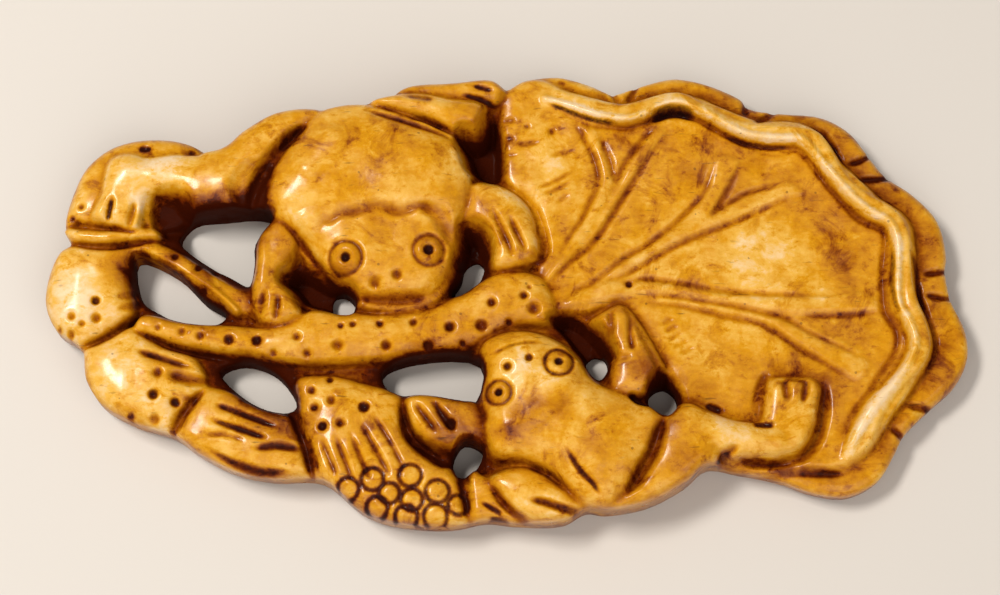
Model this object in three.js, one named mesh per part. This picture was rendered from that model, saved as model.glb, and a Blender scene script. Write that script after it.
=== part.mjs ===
// Bone carving of two frogs on lotus: one pierced relief plaque, flat at the back.
// Millimetres, +X to the right along the length, +Y to the far edge, +Z up from the flat back.
import * as THREE from "three";

// Driving sizes. Every plan point below is in hundredths of the length.
const LENGTH = 100;
const UNIT = LENGTH / 100;

// Heights of the relief above the flat back.
const GROUND = 4;
const FRILL_TOP = 4.3;
const LEAF_FLOOR = 5.2;
const VEIN_TOP = 5.5;
const LIP_TOP = 6.8;
const ROOT_TOP = 7.2;
const BUD_TOP = 6.6;
const POD_TOP = 6.9;
const STEM_TOP = 6.7;
const THIN_STEM_TOP = 5.9;
const FROG_BACK = 9.4;
const FROG_HEAD = 8.3;
const FROG_THIGH = 8.5;
const FROG_SHIN = 7.9;
const FROG_HAND = 7.5;
const FROG_FOOT = 6.8;
const PIT_FLOOR = 1.1;

// Depths of what is cut into the relief.
const GROOVE = 0.75;
const INK_LINE = 0.45;
const DOT_DEPTH = 0.7;
const RING_DEPTH = 0.4;
const RING_WIDTH = 0.42;
const EYE_RING = 0.5;
const EYE_RISE = 0.45;
const EYE_BROW = 0.9;
const PUPIL_DEPTH = 0.8;

// Roundings, wall steepness and the fineness of the surface.
const RIM_ROUND = 1.2;
const BACK_ROUND = 0.5;
const RIM_UNDER = 1.8;
const UNDER_SLOPE = 0.8;
const WALL_SLOPE = 3.2;
const SHARP_DEPTH = 0.6;
const BLEND = 0.35;
const VEIN_DROP = 0.5;
const VEIN_ROLL = 0.8;
const SOFT_BLEND = 1.1;
const CELL = 0.42;
const SOFTEN = 0.1;
const LEAST_WALL = 1.2;
const FACES = 9600;

// The outlines are laid out as they look from LEAN off the vertical, over a plane at MIDDLE_HEIGHT.
const LEAN = Math.tan(THREE.MathUtils.degToRad(14));
const MIDDLE_HEIGHT = 4;
const MIDDLE_Y = 0.9;
const RIM_LIFT = 0.36;
const RIM_TILT = 0.0045;
const HOLE_NEAR = -0.4;

// The silhouette.
const OUTLINE = [
  [-47.5, 6.3], [-48.2, 7.6], [-47.7, 11.2], [-46.1, 15.2], [-43, 17.6], [-38.1, 18.4], [-34.5, 17.6],
  [-31.9, 16.6], [-29.2, 18.6], [-26.5, 20.3], [-23.3, 21.8], [-19, 22.1], [-13.8, 23.1], [-11, 24.2],
  [-7, 24.7], [-3, 25.1], [-1.3, 25.1], [0, 24.1], [1.8, 25.2], [5.5, 25.8], [9, 24.9], [11.8, 23.8],
  [14.5, 24.6], [18.5, 25.6], [22, 25], [25.8, 23.2], [27, 22], [29.7, 21.6], [35, 21], [38, 19.2],
  [39.9, 16.5], [41.5, 14.4], [44.5, 12.2], [47.2, 9], [48, 5], [47.8, 3.5], [48.3, 0.2], [49.7, -3],
  [49.9, -6.3], [48.5, -9.3], [45.8, -11.8], [42.7, -14.9], [41.6, -17], [39.8, -19.8], [36.5, -21.5],
  [33, -21.2], [29, -19.8], [25, -19], [21.5, -18.5], [19, -20.5], [15, -22.6], [10.5, -23.4],
  [8.5, -23.2], [6, -24.5], [1, -24.6], [-2.2, -24.3], [-6, -25], [-12, -24.6], [-15.5, -23.3],
  [-19.7, -20], [-25, -19.8], [-29, -19], [-33, -17], [-35.7, -15.1], [-40, -13.7], [-43.5, -11.7],
  [-45.3, -9], [-45.9, -5.6], [-48.7, -3.5], [-50, -0.5], [-49.8, 2.5], [-48.6, 5.2],
];

// Piercings.
const HOLES = [
  [[-35.8, 6.8], [-34.3, 8.6], [-31, 9], [-27, 9.2], [-25.3, 8.6], [-27.5, 6.3], [-27.4, 4.2], [-28, 2.5],
    [-30, 3.3], [-32.5, 4.4]],
  [[-40.4, 4.2], [-36, 2.8], [-32.8, 0.3], [-30.5, -1], [-31.6, -1.8], [-34.8, -1.9], [-37.5, -0.9],
    [-39.7, 0.4]],
  [[-4.5, 4.6], [-3, 5.2], [-2.1, 4.6], [-2.8, 2.5], [-5, 1.1], [-6.2, 1.4], [-5, 2.8]],
  [[-31, -8.2], [-28.5, -7.4], [-24.8, -8.4], [-22.7, -11.1], [-25, -11.6], [-28.3, -10.4]],
  [[-13.5, -8.2], [-10, -7.1], [-2.9, -7.3], [-3.4, -10.5], [-9.2, -9.9], [-12.5, -9.7]],
  [[-5.8, -17.5], [-4.6, -16.2], [-2.6, -16.8], [-3.6, -18.3], [-5.3, -18.7]],
  [[13.4, -10.5], [15.1, -10.1], [17, -8.5], [18.6, -10.6], [17.4, -12.4], [15.3, -12]],
  [[8, -6], [9.4, -5.4], [10.8, -5.9], [11, -7.2], [10, -7.8], [8.8, -7.2]],
  [[-18.9, 0.2], [-17.6, 0.3], [-16.5, -0.3], [-17, -1], [-18.8, -0.8]],
];

// Rounded masses: height of the crown, drop and reach of the rolled edge, and the outline.
const MASSES = [
  // The leaf: its scalloped rim, then the floor inside the lip.
  { top: FRILL_TOP, drop: 0.9, roll: 1.6, at: [[-0.5, 24.6], [3.5, 26.4], [11, 25.5], [19, 26.3],
    [28, 23], [36, 21.4], [42, 15], [48, 10], [49.3, 0], [50.6, -6], [45, -13.5], [41, -20.5], [35, -22.4],
    [28, -20.4], [22.5, -19], [21.5, -15], [18, -11], [17, -7], [12.6, -1.5], [7, -1.6], [3, -1],
    [2.6, 4], [2.5, 10], [-0.7, 14.2], [-0.8, 19]] },
  { top: LEAF_FLOOR, drop: 0.5, roll: 2, at: [[-0.2, 24.2], [3, 25.6], [8, 23.4], [13, 22.4],
    [19, 23.6], [27.5, 19.6], [33, 19.4], [38, 12.6], [43, 9.8], [43.6, 4], [43.8, -1], [45.2, -4.5],
    [41, -10.8], [38.6, -15], [36, -17.6], [25, -18.4], [22.5, -16], [19, -10.8], [17, -7], [12.6, -0.6],
    [7, -1], [3.4, 0.4], [3.2, 5], [2.6, 11], [0, 13.8], [-0.6, 19]] },
  // Three root joints, the bud and the seed pod.
  { top: ROOT_TOP - 0.8, drop: 2, roll: 4.4, at: [[-48, 8.2], [-48.5, 9.5], [-47.8, 12], [-46, 15.6],
    [-43, 17.9], [-38, 18.7], [-34.3, 17.9], [-32.5, 15], [-34, 9.9], [-37.5, 8.4], [-42, 8.2]] },
  { top: ROOT_TOP, drop: 2.6, roll: 4.6, at: [[-48.6, 6.2], [-50, 2.5], [-50.2, -0.6], [-48.8, -3.9],
    [-46.2, -5.3], [-42.2, -3.2], [-40.2, -1.2], [-40.7, 3], [-38.4, 6.9], [-42, 6.9]] },
  { top: ROOT_TOP, drop: 2.6, roll: 4.6, at: [[-45.9, -5.2], [-45.6, -9], [-43.6, -11.9], [-40, -13.9],
    [-36.2, -15], [-34.2, -11.9], [-32.2, -9.3], [-33.5, -6.2], [-37, -4.8], [-40, -2.6], [-42.5, -3.2]] },
  { top: BUD_TOP, drop: 2.2, roll: 3.8, at: [[-33, -9.5], [-30, -9.7], [-27, -11.2], [-23.4, -12.4],
    [-22, -14], [-21, -16.5], [-20.2, -20], [-25, -20.1], [-29.5, -19.1], [-33.5, -17], [-36.4, -15]] },
  { top: POD_TOP, drop: 2.2, roll: 4, at: [[-22.6, -8.5], [-19.5, -8], [-15, -9], [-11.4, -10.2],
    [-11, -13], [-9.2, -15.8], [-5.4, -18.4], [-4.1, -21], [-3.9, -24.6], [-8, -25.1], [-13, -24.5],
    [-17, -22.3], [-20.4, -20.2], [-21.6, -15.5], [-22.4, -11.5]] },
  // The main stem with the knob at its cut end.
  { top: STEM_TOP, drop: 1.7, roll: 2.5, at: [[-39.7, -1.4], [-36, -1.7], [-30, -2.5], [-25, -2.5],
    [-20, -0.5], [-14, -1.2], [-8, -0.4], [-3.4, 2.2], [0.2, 3.6], [4, 2.6], [5.1, -1.8], [1, -2.9],
    [-3.5, -5.1], [-8, -6.2], [-14, -6.4], [-22, -6.7], [-30, -5.5], [-36, -4.6], [-40.2, -2.9]] },
  // Upper frog: back, jaw flange, head, thighs and feet.
  { top: FROG_BACK, drop: 3, roll: 6.4, at: [[-20.5, 21.6], [-23.9, 18], [-26, 14.4], [-26.6, 11.5],
    [-24.8, 8.9], [-13, 8], [-6, 8.4], [-4.6, 10], [-3.9, 14], [-5, 17.6], [-10, 20.4], [-15.5, 22.4]] },
  { top: 5.9, drop: 0.8, roll: 1, at: [[-25, 9.3], [-21.7, 4.6], [-19, 1.8], [-17.2, -0.1], [-14, -1],
    [-10, -1], [-7.3, 0.2], [-5.7, 3], [-5.2, 8], [-13, 10]] },
  { top: FROG_HEAD, drop: 2.6, roll: 4.2, soft: true, at: [[-24.2, 9.2], [-21.8, 6.2], [-19.3, 3],
    [-16.8, 1], [-12.5, 0.3], [-8.6, 0.8], [-6.5, 3], [-5.3, 6.5], [-5, 10], [-13, 11.3], [-23, 11]] },
  { top: FROG_THIGH, drop: 2.2, roll: 3.8, at: [[-20.3, 21.6], [-22.8, 18.6], [-25, 15], [-26, 11.5],
    [-26.7, 10.2], [-32.2, 10], [-35.8, 11], [-35.3, 14.6], [-33.2, 16.9], [-30.6, 17.9], [-28.6, 19.8],
    [-25.4, 21.6]] },
  { top: FROG_SHIN - 0.4, drop: 1.3, roll: 1.8, at: [[-43.2, 16.2], [-44.2, 12.2], [-45, 9.5], [-43, 8.7],
    [-40.1, 8.2], [-39.4, 11], [-38.4, 12.8], [-38.8, 15.8], [-41, 16.8]] },
  { top: FROG_THIGH - 0.3, drop: 1.9, roll: 2.4, at: [[-15, 22.6], [-9, 20.5], [-5.7, 18.9], [-3.4, 18],
    [-2.1, 19.4], [-2.2, 22.1], [-6, 23.1], [-11.3, 23.7]] },
  { top: FROG_FOOT - 0.2, drop: 1.2, roll: 1.6, at: [[-12.2, 23.7], [-8, 22.9], [-2.6, 22.2], [-0.9, 22.8],
    [-0.3, 24.3], [-1.8, 25.4], [-6, 25.1], [-10.7, 24.9]] },
  // Its left arm and its right hand.
  { top: FROG_HAND, drop: 1.7, roll: 2, at: [[-25.3, 9.6], [-27, 7], [-27.4, 3.4], [-27.4, 0.4],
    [-26.5, -1.9], [-24.8, -2.4], [-22.3, -1.2], [-23.4, 1.2], [-24.2, 3.2], [-22.8, 6], [-22.6, 8.8]] },
  { top: FROG_HAND, drop: 1.8, roll: 2.4, at: [[-3.6, 13.5], [-0.2, 12.9], [2.2, 11], [3.2, 8.2],
    [3.2, 5.3], [1.7, 4.2], [-1.4, 3.9], [-1.8, 5.9], [-4, 8.1], [-5, 10.5]] },
  // Lower frog: back, head, thighs and feet.
  { top: FROG_BACK, drop: 3, roll: 5.6, at: [[6.8, -5.4], [9.4, -8.6], [13.2, -10.3], [16.8, -12.4],
    [15.8, -16], [13.2, -20.6], [10.4, -22.8], [8.2, -22.2], [4.9, -18.7], [2, -17.2], [-1.6, -16.3],
    [-2.4, -13], [2, -9]] },
  { top: FROG_HEAD, drop: 2.4, roll: 3.6, soft: true, at: [[-2.7, -4.6], [0, -3.2], [2.6, -3.2],
    [5.5, -4.3], [7.5, -6], [7, -9.5], [4, -12], [-0.6, -14], [-2.5, -12.6], [-2.8, -8]] },
  { top: FROG_THIGH, drop: 2.1, roll: 3.6, at: [[16.2, -12], [19.5, -11], [21.8, -12.6], [22.8, -15.5],
    [22.3, -18.6], [19, -20.7], [15, -22.7], [10.2, -23.4], [9, -22.8], [12.2, -20.6], [14.6, -16.3]] },
  { top: FROG_FOOT + 0.2, drop: 1.3, roll: 1.6, at: [[28.5, -8], [31, -7.8], [33.6, -8],
    [34.1, -9], [33.7, -11], [33.2, -13.6], [31.4, -16.3], [28, -17.1], [25, -16.5], [26, -13.6], [27.3, -12.8], [28, -10.4]] },
  { top: FROG_THIGH - 0.9, drop: 1.9, roll: 2.6, at: [[-1.9, -19.3], [0.5, -18], [3, -18.2], [7, -20.7],
    [9, -22.6], [6, -24.6], [2.5, -24.2], [-0.2, -22.2]] },
  { top: FROG_FOOT - 0.8, drop: 1, roll: 1.6, at: [[-3.8, -18.9], [-2, -19.1], [0, -21.8],
    [2.7, -23.8], [1, -24.7], [-2, -24.5], [-3.6, -24.2]] },
  // Its right arm and its left hand.
  { top: FROG_HAND, drop: 1.8, roll: 2.2, at: [[8.9, -2.5], [11.7, -0.3], [12.7, -0.3], [15.1, -3.5],
    [17.2, -7.8], [17.4, -8.9], [15, -10.2], [13.4, -10.8], [11, -10], [11, -6.6], [9, -4]] },
  { top: FROG_HAND - 0.3, drop: 1.6, roll: 2.2, at: [[-10.8, -10.4], [-7, -10.1], [-3.6, -10.7],
    [-1.8, -13], [-2.2, -15.7], [-6, -16], [-9.4, -14.6], [-10.8, -12.4]] },
];

// Limbs along a line: x, y, half width and crest height at each point.
const LIMBS = [
  // The lip of the leaf: its crest, and the shoulder that slopes from it to the frill.
  { drop: 1.7, at: [[4.2, 23.3, 0.7, LIP_TOP - 1.1], [7.5, 22.2, 0.9, LIP_TOP - 0.5],
    [9.5, 21.5, 1, LIP_TOP - 0.2], [12.5, 21, 0.7, LIP_TOP], [14.5, 21.3, 0.7, LIP_TOP], [17.5, 22.8, 0.7, LIP_TOP],
    [19, 22.9, 0.7, LIP_TOP], [22, 21.6, 0.7, LIP_TOP], [26, 19.3, 0.7, LIP_TOP], [30, 18.8, 0.7, LIP_TOP],
    [32.2, 18.7, 0.7, LIP_TOP], [34.2, 16.4, 0.7, LIP_TOP], [37, 12.8, 0.7, LIP_TOP], [38.8, 11, 0.7, LIP_TOP],
    [41.5, 9.3, 0.7, LIP_TOP], [42.3, 7.5, 0.7, LIP_TOP], [42.3, 5, 0.7, LIP_TOP], [42.2, 0.2, 0.7, LIP_TOP],
    [43.2, -1.5, 0.7, LIP_TOP], [43.9, -4.3, 0.7, LIP_TOP], [42.1, -7.8, 0.7, LIP_TOP],
    [39.1, -11.3, 1, LIP_TOP - 0.1], [37.2, -14.5, 0.9, LIP_TOP - 0.5], [36.4, -16.4, 0.8, LIP_TOP - 1]] },
  { drop: 1.4, at: [[5.5, 23.9, 0.9, LIP_TOP - 1.4], [9.7, 22.4, 1.2, LIP_TOP - 0.6],
    [13, 21.9, 1.1, LIP_TOP - 0.4], [18.8, 23.3, 1.1, LIP_TOP - 0.4], [23.2, 21.5, 1.1, LIP_TOP - 0.4],
    [27, 20, 1.1, LIP_TOP - 0.4], [32.9, 19.3, 1.2, LIP_TOP - 0.4], [36.4, 14.8, 1.2, LIP_TOP - 0.4],
    [39.5, 11.7, 1.2, LIP_TOP - 0.4], [42.7, 9.2, 1.2, LIP_TOP - 0.4], [43.4, 5, 1.1, LIP_TOP - 0.4],
    [43.4, 1, 1.1, LIP_TOP - 0.4], [44.8, -4.5, 1.2, LIP_TOP - 0.4], [42.6, -8.4, 1.1, LIP_TOP - 0.4],
    [39.9, -12, 1.2, LIP_TOP - 0.6], [38, -15.4, 1.1, LIP_TOP - 1], [35.4, -17.4, 0.9, LIP_TOP - 1.5],
    [29.5, -18, 0.8, LIP_TOP - 1.8]] },
  // The thin stem, with its ridge along the near side.
  { drop: 1.6, at: [[-39.3, 6.3, 1.3, THIN_STEM_TOP], [-36, 4.8, 1.3, THIN_STEM_TOP],
    [-33, 2.8, 1.4, THIN_STEM_TOP], [-29.6, 0.6, 1.6, THIN_STEM_TOP - 0.6], [-25, -0.5, 1.4, GROUND + 1.4]] },
  { drop: 1, at: [[-39, 6.1, 0.45, THIN_STEM_TOP + 0.2], [-35, 3.8, 0.45, THIN_STEM_TOP + 0.3],
    [-32, 1.9, 0.45, THIN_STEM_TOP + 0.3], [-29.2, -0.6, 0.4, THIN_STEM_TOP]] },
  // The ring of the first root joint, under the toes.
  { drop: 1.5, at: [[-47.9, 7.9, 0.9, ROOT_TOP - 1], [-43, 7.6, 0.9, ROOT_TOP - 0.5],
    [-38.3, 8, 0.8, ROOT_TOP - 1.2]] },
  // The shins.
  { drop: 1.9, at: [[-30.5, 13.6, 3.2, FROG_SHIN + 0.4], [-35.5, 14.6, 2.6, FROG_SHIN + 0.1],
    [-41.3, 14.8, 1.9, FROG_SHIN - 0.3]] },
  { drop: 1.9, at: [[19.8, -13.1, 2.2, FROG_SHIN + 0.4], [24, -14.4, 2, FROG_SHIN],
    [28.4, -14.8, 2, FROG_SHIN - 0.5]] },
  { drop: 1, at: [[-16.5, 22, 0.5, FROG_SHIN], [-11, 20.8, 0.6, FROG_SHIN],
    [-5.8, 18.6, 0.5, FROG_SHIN - 0.6]] },
  { drop: 1.2, at: [[-3.5, -18.6, 0.6, POD_TOP - 0.9], [-3.4, -24.4, 0.6, POD_TOP - 1.4]] },
];

// Raised veins of the leaf, as outlines.
const VEINS = [
  [[3.9, 1.8], [6, 6], [8, 9.2], [9.9, 13.3], [9.3, 17], [7.7, 20.2], [10.2, 19.4], [11.4, 15.5],
    [11.7, 13.4], [7.3, 5.1]],
  [[3.9, 1.8], [7.3, 5.1], [11.9, 13.3], [13.7, 17], [16, 19.7], [17.6, 19.5], [12.5, 11.7], [9, 6.5]],
  [[6.1, -0.1], [9, 2.2], [14.8, 6.3], [20.3, 11], [22.9, 16.6], [25.6, 15.9], [22.2, 9.8], [15.7, 5.2],
    [10.8, 2.9]],
  [[10.8, 2.7], [15.7, 5.2], [22.3, 10], [25.7, 12.2], [30.4, 13.7], [32.4, 12.4], [25, 9.3],
    [18.3, 6.5]],
  [[6.1, -0.2], [10.7, 2.5], [17.4, 2.5], [27.6, 1.1], [38.9, 1.3], [40.3, -0.8], [32, -1.3],
    [24, -0.1], [15.7, 0.9]],
  [[13.2, 1.2], [18.2, 0.8], [24, -0.1], [29.8, -1.5], [39, -6.3], [37.4, -8.6], [31, -4.6],
    [27.5, -2.2], [18.2, -0.1]],
];

// Deep recesses that don't go through.
const PITS = [
  { floor: PIT_FLOOR, at: [[-24.2, 2.2], [-22.5, 3.6], [-19.3, 2.1], [-16.4, 0], [-17.3, -1.1],
    [-21.8, -0.6], [-22.9, 0.7]] },
  { floor: PIT_FLOOR, at: [[-5, 18.2], [-4.4, 16], [-3.4, 13.9], [-0.7, 13.3], [-0.8, 20], [-1.7, 21.4],
    [-2.3, 19.4], [-3.2, 18]] },
  { floor: PIT_FLOOR, at: [[-4.6, 8], [-2.7, 7.4], [-2, 5.4], [-2.4, 4], [-5.4, 3.4], [-5, 5.6]] },
  { floor: PIT_FLOOR + 1.2, at: [[3.3, 3.9], [4, 6.5], [3.2, 9.6], [2.6, 11.2], [3.3, 11], [4.4, 8],
    [4.7, 5.4]] },
  { floor: PIT_FLOOR, at: [[4.7, -2.2], [6.8, -1.4], [9, -2.7], [10.4, -4.4], [11, -6.4], [9.6, -7.4],
    [7.6, -6], [6.2, -4.2]] },
  { floor: PIT_FLOOR + 1.2, at: [[0.2, -17.1], [2.4, -17.2], [2.6, -18], [0.6, -18]] },
];

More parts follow.
